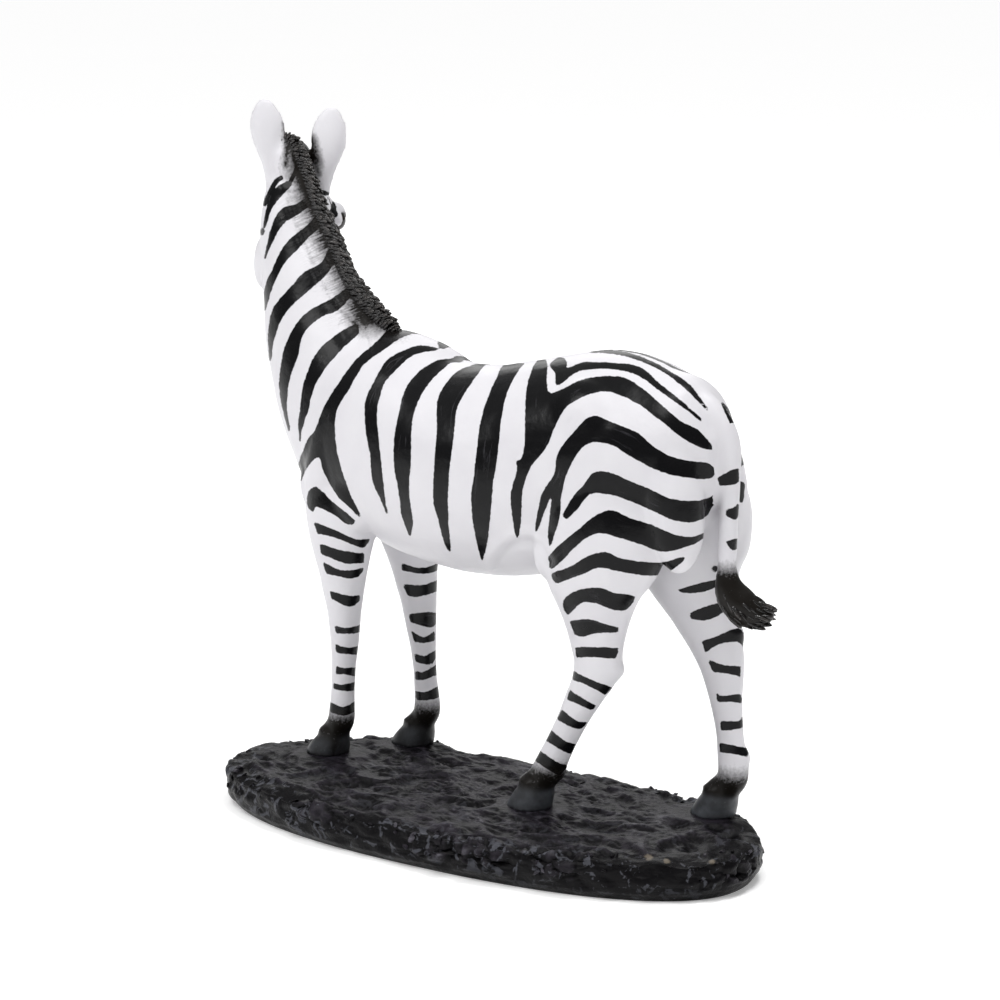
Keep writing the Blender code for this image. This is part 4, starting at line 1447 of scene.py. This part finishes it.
def lockTree():
    sizes = ("Spacing", "Length", "Width", "Thickness", "Bend")
    tree, given = newShapeTree("hairLocks", "Guides", sizes, "Locks")
    # one lock: a ball drawn out along Z, thinner to its tip, and bent over
    ball = addNode(tree, "GeometryNodeMeshUVSphere", {"Segments": 8, "Rings": 8, "Radius": 1.0})
    place = addNode(tree, "GeometryNodeInputPosition").outputs[0]
    parts = addNode(tree, "ShaderNodeSeparateXYZ", {}, {0: place})
    rise = addNode(
        tree, "ShaderNodeMath", {"operation": "MULTIPLY_ADD", 1: 0.5, 2: 0.5}, {0: parts.outputs[2]}
    )
    taper = addNode(
        tree, "ShaderNodeMapRange", {"To Min": 1.05, "To Max": 0.7}, {"Value": rise.outputs[0]}
    )
    flat = []
    for axis, name in ((0, "Width"), (1, "Thickness")):
        wide = addNode(
            tree, "ShaderNodeMath", {"operation": "MULTIPLY"}, {0: parts.outputs[axis], 1: given[name]}
        )
        thin = addNode(
            tree, "ShaderNodeMath", {"operation": "MULTIPLY"}, {0: wide.outputs[0], 1: taper.outputs[0]}
        )
        flat.append(thin.outputs[0])
    square = addNode(tree, "ShaderNodeMath", {"operation": "POWER", 1: 2.0}, {0: rise.outputs[0]})
    bend = addNode(
        tree, "ShaderNodeMath", {"operation": "MULTIPLY"}, {0: square.outputs[0], 1: given["Bend"]}
    )
    bent = addNode(tree, "ShaderNodeMath", {"operation": "ADD"}, {0: flat[0], 1: bend.outputs[0]})
    tall = addNode(
        tree, "ShaderNodeMath", {"operation": "MULTIPLY"}, {0: rise.outputs[0], 1: given["Length"]}
    )
    joined = addNode(
        tree, "ShaderNodeCombineXYZ", {}, {0: bent.outputs[0], 1: flat[1], 2: tall.outputs[0]}
    )
    kept = addNode(
        tree,
        "GeometryNodeStoreNamedAttribute",
        {"data_type": "FLOAT", "Name": "lockPlace"},
        {"Geometry": ball.outputs["Mesh"], "Value": rise.outputs[0]},
    )
    lock = addNode(
        tree,
        "GeometryNodeSetPosition",
        {},
        {"Geometry": kept.outputs["Geometry"], "Position": joined.outputs[0]},
    )
    curve = addNode(tree, "GeometryNodeMeshToCurve", {}, {"Mesh": given["Guides"]})
    even = addNode(
        tree,
        "GeometryNodeResampleCurve",
        {"mode": "LENGTH"},
        {"Curve": curve.outputs[0], "Length": given["Spacing"]},
    )
    outward = addNode(
        tree, "GeometryNodeInputNamedAttribute", {"data_type": "FLOAT_VECTOR", "Name": "outward"}
    )
    across = addNode(
        tree, "GeometryNodeInputNamedAttribute", {"data_type": "FLOAT_VECTOR", "Name": "across"}
    )
    size = addNode(tree, "GeometryNodeInputNamedAttribute", {"data_type": "FLOAT", "Name": "lockSize"})
    aimed = addNode(
        tree, "FunctionNodeAlignRotationToVector", {"axis": "Z"}, {"Vector": outward.outputs[0]}
    )
    turned = addNode(
        tree,
        "FunctionNodeAlignRotationToVector",
        {"axis": "Y", "pivot_axis": "Z"},
        {"Rotation": aimed.outputs[0], "Vector": across.outputs[0]},
    )
    vary = addNode(
        tree, "FunctionNodeRandomValue", {"data_type": "FLOAT", 2: 0.7, 3: 1.2}, {"Seed": given["Seed"]}
    )
    scale = addNode(
        tree, "ShaderNodeMath", {"operation": "MULTIPLY"}, {0: size.outputs[0], 1: vary.outputs[1]}
    )
    placed = addNode(
        tree,
        "GeometryNodeInstanceOnPoints",
        {},
        {
            "Points": even.outputs[0],
            "Instance": lock.outputs[0],
            "Rotation": turned.outputs[0],
            "Scale": scale.outputs[0],
        },
    )
    tilt = addNode(
        tree,
        "FunctionNodeRandomValue",
        {"data_type": "FLOAT_VECTOR", 0: (-0.06, -0.22, -0.4), 1: (0.06, 0.22, 0.4)},
        {"Seed": given["Seed"]},
    )
    loose = addNode(
        tree,
        "GeometryNodeRotateInstances",
        {},
        {"Instances": placed.outputs[0], "Rotation": tilt.outputs[0]},
    )
    chance = addNode(tree, "FunctionNodeRandomValue", {"data_type": "FLOAT"}, {"Seed": given["Seed"]})
    named = addNode(
        tree,
        "GeometryNodeStoreNamedAttribute",
        {"data_type": "FLOAT", "domain": "INSTANCE", "Name": "lockChance"},
        {"Geometry": loose.outputs[0], "Value": chance.outputs[1]},
    )
    real = addNode(tree, "GeometryNodeRealizeInstances", {}, {0: named.outputs[0]})
    smooth = addNode(tree, "GeometryNodeSetShadeSmooth", {}, {0: real.outputs[0]})
    finish = addNode(
        tree,
        "GeometryNodeSetMaterial",
        {},
        {"Geometry": smooth.outputs[0], "Material": given["Finish"]},
    )
    addNode(tree, "NodeGroupOutput", {}, {0: finish.outputs[0]})
    return tree


def setInputs(modifier, tree, values):
    modifier.node_group = tree
    for item in tree.interface.items_tree:
        if item.in_out == "INPUT" and item.name in values:
            modifier[item.identifier] = values[item.name]


def makeLocks(name, guides, tree, sizes, finish):
    points, edges, leans, sides, spans = [], [], [], [], []
    for line in guides:
        start = len(points)
        for place, lean, across, span in line:
            points.append(place + np.array(figure["stance"]))
            leans.append(lean)
            sides.append(across)
            spans.append(span)
        edges.extend((start + i, start + i + 1) for i in range(len(line) - 1))
    mesh = bpy.data.meshes.new(name + "Guides")
    mesh.from_pydata([tuple(point) for point in np.array(points) * 0.001], edges, [])
    storeValues(mesh, "outward", leans)
    storeValues(mesh, "across", sides)
    storeValues(mesh, "lockSize", spans)
    draft = bpy.data.objects.new(name + "Guides", mesh)
    bpy.context.scene.collection.objects.link(draft)
    modifier = draft.modifiers.new("Locks", "NODES")
    values = {
        "Spacing": sizes["spacing"] * 0.001,
        "Length": sizes["lockLength"] * 0.001,
        "Width": sizes["lockWidth"] * 0.001,
        "Thickness": sizes["lockThickness"] * 0.001,
        "Bend": sizes["lockBend"] * 0.001,
        "Seed": sizes["seed"],
        "Finish": finish,
    }
    setInputs(modifier, tree, values)
    locks = plainMesh(draft, name)
    setPoints(locks.data, clipToBox(meshPoints(locks.data)))
    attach(locks, "root")
    print(name, "done:", len(locks.data.polygons), "faces")


def hairMaterial():
    # Brown-black paint rubbed to grey on the locks' backs; their soft gloss picks out each one
    material, tree, shader = newMaterial("brown-black hair paint")
    tip, chance = (
        addNode(tree, "ShaderNodeAttribute", {"attribute_name": name}).outputs["Fac"]
        for name in ("lockPlace", "lockChance")
    )
    place = addNode(tree, "ShaderNodeTexCoord").outputs["Object"]
    grain = addNode(tree, "ShaderNodeTexNoise", {"Scale": 900, "Detail": 2}, {"Vector": place})
    rubbed = addNode(tree, "ShaderNodeMath", {"operation": "MULTIPLY"}, {0: tip, 1: chance})
    uneven = addNode(
        tree,
        "ShaderNodeMath",
        {"operation": "MULTIPLY"},
        {0: rubbed.outputs[0], 1: grain.outputs["Fac"]},
    )
    share = addNode(
        tree, "ShaderNodeMapRange", {"From Min": 0.16, "From Max": 0.5}, {"Value": uneven.outputs[0]}
    )
    tone = addNode(
        tree,
        "ShaderNodeMix",
        {"data_type": "RGBA", 6: hexColour(paint["hair"]), 7: hexColour(paint["hairWorn"])},
        {0: share.outputs[0]},
    )
    tree.links.new(tone.outputs[2], shader.inputs["Base Color"])
    shader.inputs["Roughness"].default_value = paint["hairRough"]
    relief = addNode(
        tree, "ShaderNodeBump", {"Strength": 1.0, "Distance": 0.0003}, {"Height": grain.outputs["Fac"]}
    )
    tree.links.new(relief.outputs[0], shader.inputs["Normal"])
    return material


hairFinish = hairMaterial()
hairTree = lockTree()
makeLocks("maneLocks", maneGuides(), hairTree, mane, hairFinish)
makeLocks("tailTuft", tuftGuides(), hairTree, tuft, hairFinish)

# The base, in mm of the row frame
base = {
    "length": 264.0,
    "width": 113.0,
    "turn": 6.0,
    "squareness": 2.3,
    "side": ((0.94, -1.4), (0.72, 0.0), (0.46, 0.2), (0.2, -1.6), (0, -5.0)),
    "dip": 3.0,
    "waves": ((0.55, 0.045, 0.095, 0.3), (0.45, 0.12, 0.15, 5.1)),
    "rimDrop": 1.4,
    "rimCurve": 8,
    "lump": 2.2,
    "lumpPitch": 0.11,
    "padMargin": 4.0,
    "padBlend": 8.0,
    "sectors": 460,
    "topRings": 122,
    "sideRings": 42,
    "ripple": 1.25,
    "rubble": 2.7,
    "rimInset": 7.0,  # where the rim starts to round over, in from the outline
    "rimEnd": 1.5,  # and where that ends
    "rimRound": 1.3,
    "rock": "#060507",
    # the two lighter greys below go on raised ripples and stones: a grey dry brush, and on the top also
    # a painted sheen
    "rockMid": "#242127",
    "rockWornAndSheen": "#5b5960",
    "chipDensity": 16000,  # to a square metre of the rim
    "chipSize": 1.5,
    "chipSeed": 12,
    "flake": "#494a50",
    "beige": "#655d52",
    "rough": 0.36,
    "specular": 0.11,
    "pebbles": ((649, 857, 5), (667, 861, 4), (712, 862, 4), (725, 853, 5)),  # photo's pixels, size
}


def outlinePoint(turn, share=1.0, grow=0.0):
    power = 2 / base["squareness"]
    x, y = (
        (base[key] / 2 * share + grow) * math.copysign(abs(part) ** power, part)
        for key, part in (("length", math.cos(turn)), ("width", math.sin(turn)))
    )
    askew = math.radians(base["turn"])
    return x * math.cos(askew) - y * math.sin(askew), x * math.sin(askew) + y * math.cos(askew)


def groundDip(x, y, share):
    wave = sum(
        part * noise.noise(Vector((x * along, y * across, seed)))
        for part, along, across, seed in base["waves"]
    )
    rough = base["dip"] * min(max(0.5 + wave, 0), 1)
    pad = (hoof["toe"] + hoof["heel"]) / 2 + base["padMargin"]
    near = min(math.dist((x, y), centre) for centre in soleCentres())
    blend = min(max((near - pad) / base["padBlend"], 0), 1)
    return (rough + base["rimDrop"] * share ** base["rimCurve"]) * blend, near


def topRelief(x, y, near):  # ripples of the ground that run along the base, and how raised the place is
    bend = Vector((x, y, 0)) + noise.noise_vector(Vector((x * 0.03, y * 0.03, 2.0))) * 5
    broad = 1 - abs(noise.noise(Vector((bend.x * 0.05, bend.y * 0.07, 4.0)))) * 2.6
    sharp = 1 - abs(noise.noise(Vector((bend.x * 0.12, bend.y * 0.17, 8.0)))) * 2.5
    fine = 1 - abs(noise.noise(Vector((x * 0.3, y * 0.4, 1.0)))) * 2.4
    calm = min(max((near - 9) / 6, 0.2), 1)
    relief = base["ripple"] * (broad + 0.55 * sharp + 0.22 * fine)
    return (relief - 0.9) * calm, 0.35 * broad + 0.4 * sharp + 0.35 * fine


def sideRelief(x, y, z):  # angular stones pressed into the upper side
    place = Vector((x * 0.15, y * 0.15, z * 0.17))
    spans, centres = noise.voronoi(place)
    facet = (place - centres[0]).dot(noise.noise_vector(centres[0] * 7.3)) * 2.4
    crack = min((spans[1] - spans[0]) * 3.5, 1)
    chip = 1 - min(noise.voronoi(Vector((x * 0.42, y * 0.42, z * 0.45 + 7)))[0][0] * 1.4, 1) ** 2
    patch = min(max(noise.noise(Vector((x * 0.03, y * 0.03, z * 0.04 + 3))) * 2.5 + 0.7, 0.15), 1)
    raised = (0.75 * crack + facet) * patch
    relief = base["rubble"] * (raised - 0.4) + 0.5 * (chip - 0.5) * patch
    return relief, 0.8 * raised + 0.35 * chip * patch


def chipPatch(x, y):  # how thickly the chips lie there
    return min(max(noise.noise(Vector((x * 0.035, y * 0.035, 6.0))) * 4 + 0.4, 0.02), 1)


def makeBase():
    turns = np.arange(base["sectors"]) * 2 * math.pi / base["sectors"]
    reach = [math.hypot(*outlinePoint(turn)) for turn in turns]
    rings, crest, flaky, chipShare = [], [], [], []
    inset = base["rimInset"]
    run = inset - base["rimEnd"]
    for share in (*np.linspace(0.012, 1, base["topRings"]), *np.linspace(1.004, 1.06, 10)):
        ring = []
        drops = []
        over = (share - 1) * run / 0.06 if share > 1 else 0
        fall = base["rimRound"] * (over / run) ** 2
        for i, turn in enumerate(turns):
            x, y = outlinePoint(turn, min(share, 1), over - inset * min(share, 1))
            dip, near = groundDip(x, y, math.hypot(x, y) / reach[i])
            relief, raised = topRelief(x, y, near)
            edge = ramp(math.hypot(x, y) / reach[i], 0.86, 0.96)
            stones, stony = sideRelief(x, y, baseTop - dip)
            z = baseTop - dip + relief * (1 - edge) + stones * 0.8 * edge - fall
            ring.append((x, y, min(z, baseTop - 0.02)))
            drops.append(baseTop - dip - fall)
            crest.append(raised * (1 - edge) + stony * edge)
            flaky.append(0.25 + 0.75 * edge)
            chipShare.append(chipPatch(x, y) * (edge + 0.03))
        rings.append(ring)
    levels, grows = zip(*base["side"][::-1])
    for share in np.linspace(0.97, 0, base["sideRings"]):
        ring = []
        for turn, rim in zip(turns, drops):
            z = rim * share
            grow = float(np.interp(z / (baseTop - base["rimDrop"]), levels, grows))
            x, y = outlinePoint(turn, 1, grow)
            lump = noise.noise(Vector((x * base["lumpPitch"], y * base["lumpPitch"], share * 3)))
            stones, stony = sideRelief(x, y, z)
            rocky = min(max((share - 0.25) / 0.3, 0), 1)
            out = grow + base["lump"] * lump * min(share * 3, 1) * (1 - 0.5 * share) + stones * rocky
            ring.append((*outlinePoint(turn, 1, out), z))
            crest.append(stony * rocky * 0.85)
            flaky.append(0.85 * rocky + (1 - rocky) * (0.6 if x < 0 else 0.2))
            chipShare.append(chipPatch(x, y) * min(max((share - 0.45) / 0.2, 0), 1))
        rings.append(ring)
    shells = {"points": [], "faces": []}
    addRings(shells, rings)
    rock = meshObject("rockBase", clipToBox(np.array(shells["points"])), shells["faces"])
    for name, values in (("crest", crest), ("flaky", flaky), ("chipShare", chipShare)):
        storeValues(rock.data, name, values)
    points = meshPoints(rock.data)
    pixels = toPhoto(points)
    pale = np.zeros(len(points))
    for across, down, size in base["pebbles"]:
        spot = 1.3 - np.hypot((pixels[:, 0] - across) / size, (pixels[:, 1] - down) / (size * 0.75))
        pale = np.maximum(pale, spot * (points[:, 1] < 0))
    storeValues(rock.data, "pale", pale)
    rock.data.materials.append(rockMaterial())
    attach(rock, "root")
    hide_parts("rock_base")
    print("base done:", len(rock.data.polygons), "faces")
    return rock


def rockMaterial():
    # Black paint with a grey dry brush, partly a painted sheen on the top's ripples: light tops of the
    # stones against black cracks give the look
    material, tree, shader = newMaterial("dry-brushed black rock paint")
    place = addNode(tree, "ShaderNodeTexCoord").outputs["Object"]
    crest, flaky, pale = (
        addNode(tree, "ShaderNodeAttribute", {"attribute_name": name}).outputs["Fac"]
        for name in ("crest", "flaky", "pale")
    )
    grain = addNode(
        tree, "ShaderNodeTexNoise", {"Scale": 420, "Detail": 4, "Roughness": 0.65}, {"Vector": place}
    )
    patch = addNode(tree, "ShaderNodeTexNoise", {"Scale": 45, "Detail": 2}, {"Vector": place})
    raised = addNode(
        tree,
        "ShaderNodeMath",
        {"operation": "MULTIPLY_ADD", 1: 0.9, 2: -0.45},
        {0: grain.outputs["Fac"]},
    )
    level = addNode(tree, "ShaderNodeMath", {"operation": "ADD"}, {0: crest, 1: raised.outputs[0]})
    # lighter on raised places: grey dry brush, and painted sheen on the top's ripples
    middle = addNode(
        tree, "ShaderNodeMapRange", {"From Min": 0.35, "From Max": 0.8}, {"Value": level.outputs[0]}
    )
    dryBrushAndSheen = addNode(
        tree, "ShaderNodeMapRange", {"From Min": 0.8, "From Max": 1.15}, {"Value": level.outputs[0]}
    )
    patchy = addNode(
        tree, "ShaderNodeMapRange", {"From Min": 0.4, "From Max": 0.62}, {"Value": patch.outputs["Fac"]}
    )
    wornAndSheen = addNode(
        tree, "ShaderNodeMath", {"operation": "MULTIPLY"}, {0: dryBrushAndSheen.outputs[0], 1: patchy.outputs[0]}
    )
    low = addNode(
        tree,
        "ShaderNodeMix",
        {"data_type": "RGBA", 6: hexColour(base["rock"]), 7: hexColour(base["rockMid"])},
        {0: middle.outputs[0]},
    )
    tone = addNode(
        tree,
        "ShaderNodeMix",
        {"data_type": "RGBA", 7: hexColour(base["rockWornAndSheen"])},
        {0: wornAndSheen.outputs[0], 6: low.outputs[2]},
    )
    # thin grey flakes with crisp edges, in patches
    scab = addNode(
        tree,
        "ShaderNodeTexNoise",
        {"Scale": 190, "Detail": 4, "Roughness": 0.6, "Distortion": 0.9},
        {"Vector": place},
    )
    scattered = addNode(
        tree,
        "ShaderNodeMath",
        {"operation": "MULTIPLY_ADD", 1: 0.22},
        {0: patch.outputs["Fac"], 2: scab.outputs["Fac"]},
    )
    crisp = addNode(
        tree,
        "ShaderNodeMapRange",
        {"From Min": 0.675, "From Max": 0.71},
        {"Value": scattered.outputs[0]},
    )
    flakes = addNode(tree, "ShaderNodeMath", {"operation": "MULTIPLY"}, {0: crisp.outputs[0], 1: flaky})
    flaked = addNode(
        tree,
        "ShaderNodeMix",
        {"data_type": "RGBA", 7: hexColour(base["flake"])},
        {0: flakes.outputs[0], 6: tone.outputs[2]},
    )
    # bare beige pebbles
    specked = addNode(
        tree,
        "ShaderNodeMath",
        {"operation": "MULTIPLY_ADD", 1: 1.6, 2: -0.8},
        {0: grain.outputs["Fac"]},
    )
    bare = addNode(tree, "ShaderNodeMath", {"operation": "ADD"}, {0: pale, 1: specked.outputs[0]})
    shown = addNode(
        tree, "ShaderNodeMapRange", {"From Min": 0.3, "From Max": 0.8}, {"Value": bare.outputs[0]}
    )
    coloured = addNode(
        tree,
        "ShaderNodeMix",
        {"data_type": "RGBA", 7: hexColour(base["beige"])},
        {0: shown.outputs[0], 6: flaked.outputs[2]},
    )
    tree.links.new(coloured.outputs[2], shader.inputs["Base Color"])
    shader.inputs["Roughness"].default_value = base["rough"]
    shader.inputs["Specular IOR Level"].default_value = base["specular"]
    thick = addNode(
        tree,
        "ShaderNodeMath",
        {"operation": "MULTIPLY_ADD", 1: 0.4},
        {0: flakes.outputs[0], 2: grain.outputs["Fac"]},
    )
    relief = addNode(
        tree, "ShaderNodeBump", {"Strength": 1.0, "Distance": 0.0005}, {"Height": thick.outputs[0]}
    )
    tree.links.new(relief.outputs[0], shader.inputs["Normal"])
    return material


def chipTree():  # small angular stones pressed into the rim
    tree, given = newShapeTree("rubbleChips", "Ground", ("Density", "Size"), "Chips")
    rim = addNode(tree, "GeometryNodeInputNamedAttribute", {"data_type": "FLOAT", "Name": "chipShare"})
    density = addNode(
        tree, "ShaderNodeMath", {"operation": "MULTIPLY"}, {0: rim.outputs[0], 1: given["Density"]}
    )
    spots = addNode(
        tree,
        "GeometryNodeDistributePointsOnFaces",
        {"distribute_method": "RANDOM"},
        {"Mesh": given["Ground"], "Density": density.outputs[0], "Seed": given["Seed"]},
    )
    ball = addNode(tree, "GeometryNodeMeshIcoSphere", {"Radius": 1.0, "Subdivisions": 2})
    rough = addNode(tree, "ShaderNodeTexNoise", {"Scale": 1.1, "Detail": 1})
    shift = addNode(
        tree,
        "ShaderNodeVectorMath",
        {"operation": "MULTIPLY_ADD", 1: (1.4, 1.4, 1.4), 2: (-0.7, -0.7, -0.7)},
        {0: rough.outputs["Color"]},
    )
    stone = addNode(
        tree,
        "GeometryNodeSetPosition",
        {},
        {"Geometry": ball.outputs["Mesh"], "Offset": shift.outputs[0]},
    )
    sizes = addNode(
        tree,
        "FunctionNodeRandomValue",
        {"data_type": "FLOAT_VECTOR", 0: (0.4, 0.35, 0.2), 1: (1.5, 1.1, 0.6)},
        {"Seed": given["Seed"]},
    )
    scale = addNode(
        tree,
        "ShaderNodeVectorMath",
        {"operation": "SCALE"},
        {0: sizes.outputs[0], "Scale": given["Size"]},
    )
    placed = addNode(
        tree,
        "GeometryNodeInstanceOnPoints",
        {},
        {
            "Points": spots.outputs["Points"],
            "Instance": stone.outputs[0],
            "Rotation": spots.outputs["Rotation"],
            "Scale": scale.outputs[0],
        },
    )
    turn = addNode(
        tree,
        "FunctionNodeRandomValue",
        {"data_type": "FLOAT_VECTOR", 0: (-0.5, -0.5, -3.1), 1: (0.5, 0.5, 3.1)},
        {"Seed": given["Seed"]},
    )
    loose = addNode(
        tree,
        "GeometryNodeRotateInstances",
        {},
        {"Instances": placed.outputs[0], "Rotation": turn.outputs[0]},
    )
    dusty = addNode(
        tree,
        "FunctionNodeRandomValue",
        {"data_type": "FLOAT", 2: 0.1, 3: 1.15},
        {"Seed": given["Seed"]},
    )
    marked = addNode(
        tree,
        "GeometryNodeStoreNamedAttribute",
        {"data_type": "FLOAT", "domain": "INSTANCE", "Name": "crest"},
        {"Geometry": loose.outputs[0], "Value": dusty.outputs[1]},
    )
    real = addNode(tree, "GeometryNodeRealizeInstances", {}, {0: marked.outputs[0]})
    finish = addNode(
        tree, "GeometryNodeSetMaterial", {}, {"Geometry": real.outputs[0], "Material": given["Finish"]}
    )
    addNode(tree, "NodeGroupOutput", {}, {0: finish.outputs[0]})
    return tree


def makeChips(rock):
    draft = bpy.data.objects.new("chipGround", rock.data.copy())
    bpy.context.scene.collection.objects.link(draft)
    modifier = draft.modifiers.new("Chips", "NODES")
    values = {
        "Density": float(base["chipDensity"]),
        "Size": base["chipSize"] * 0.001,
        "Seed": base["chipSeed"],
        "Finish": rock.data.materials[0],
    }
    setInputs(modifier, chipTree(), values)
    chips = plainMesh(draft, "rubbleChips")
    setPoints(chips.data, clipToBox(meshPoints(chips.data)))
    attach(chips, "root")
    print("chips done:", len(chips.data.polygons), "faces")


rock = makeBase()
makeChips(rock)
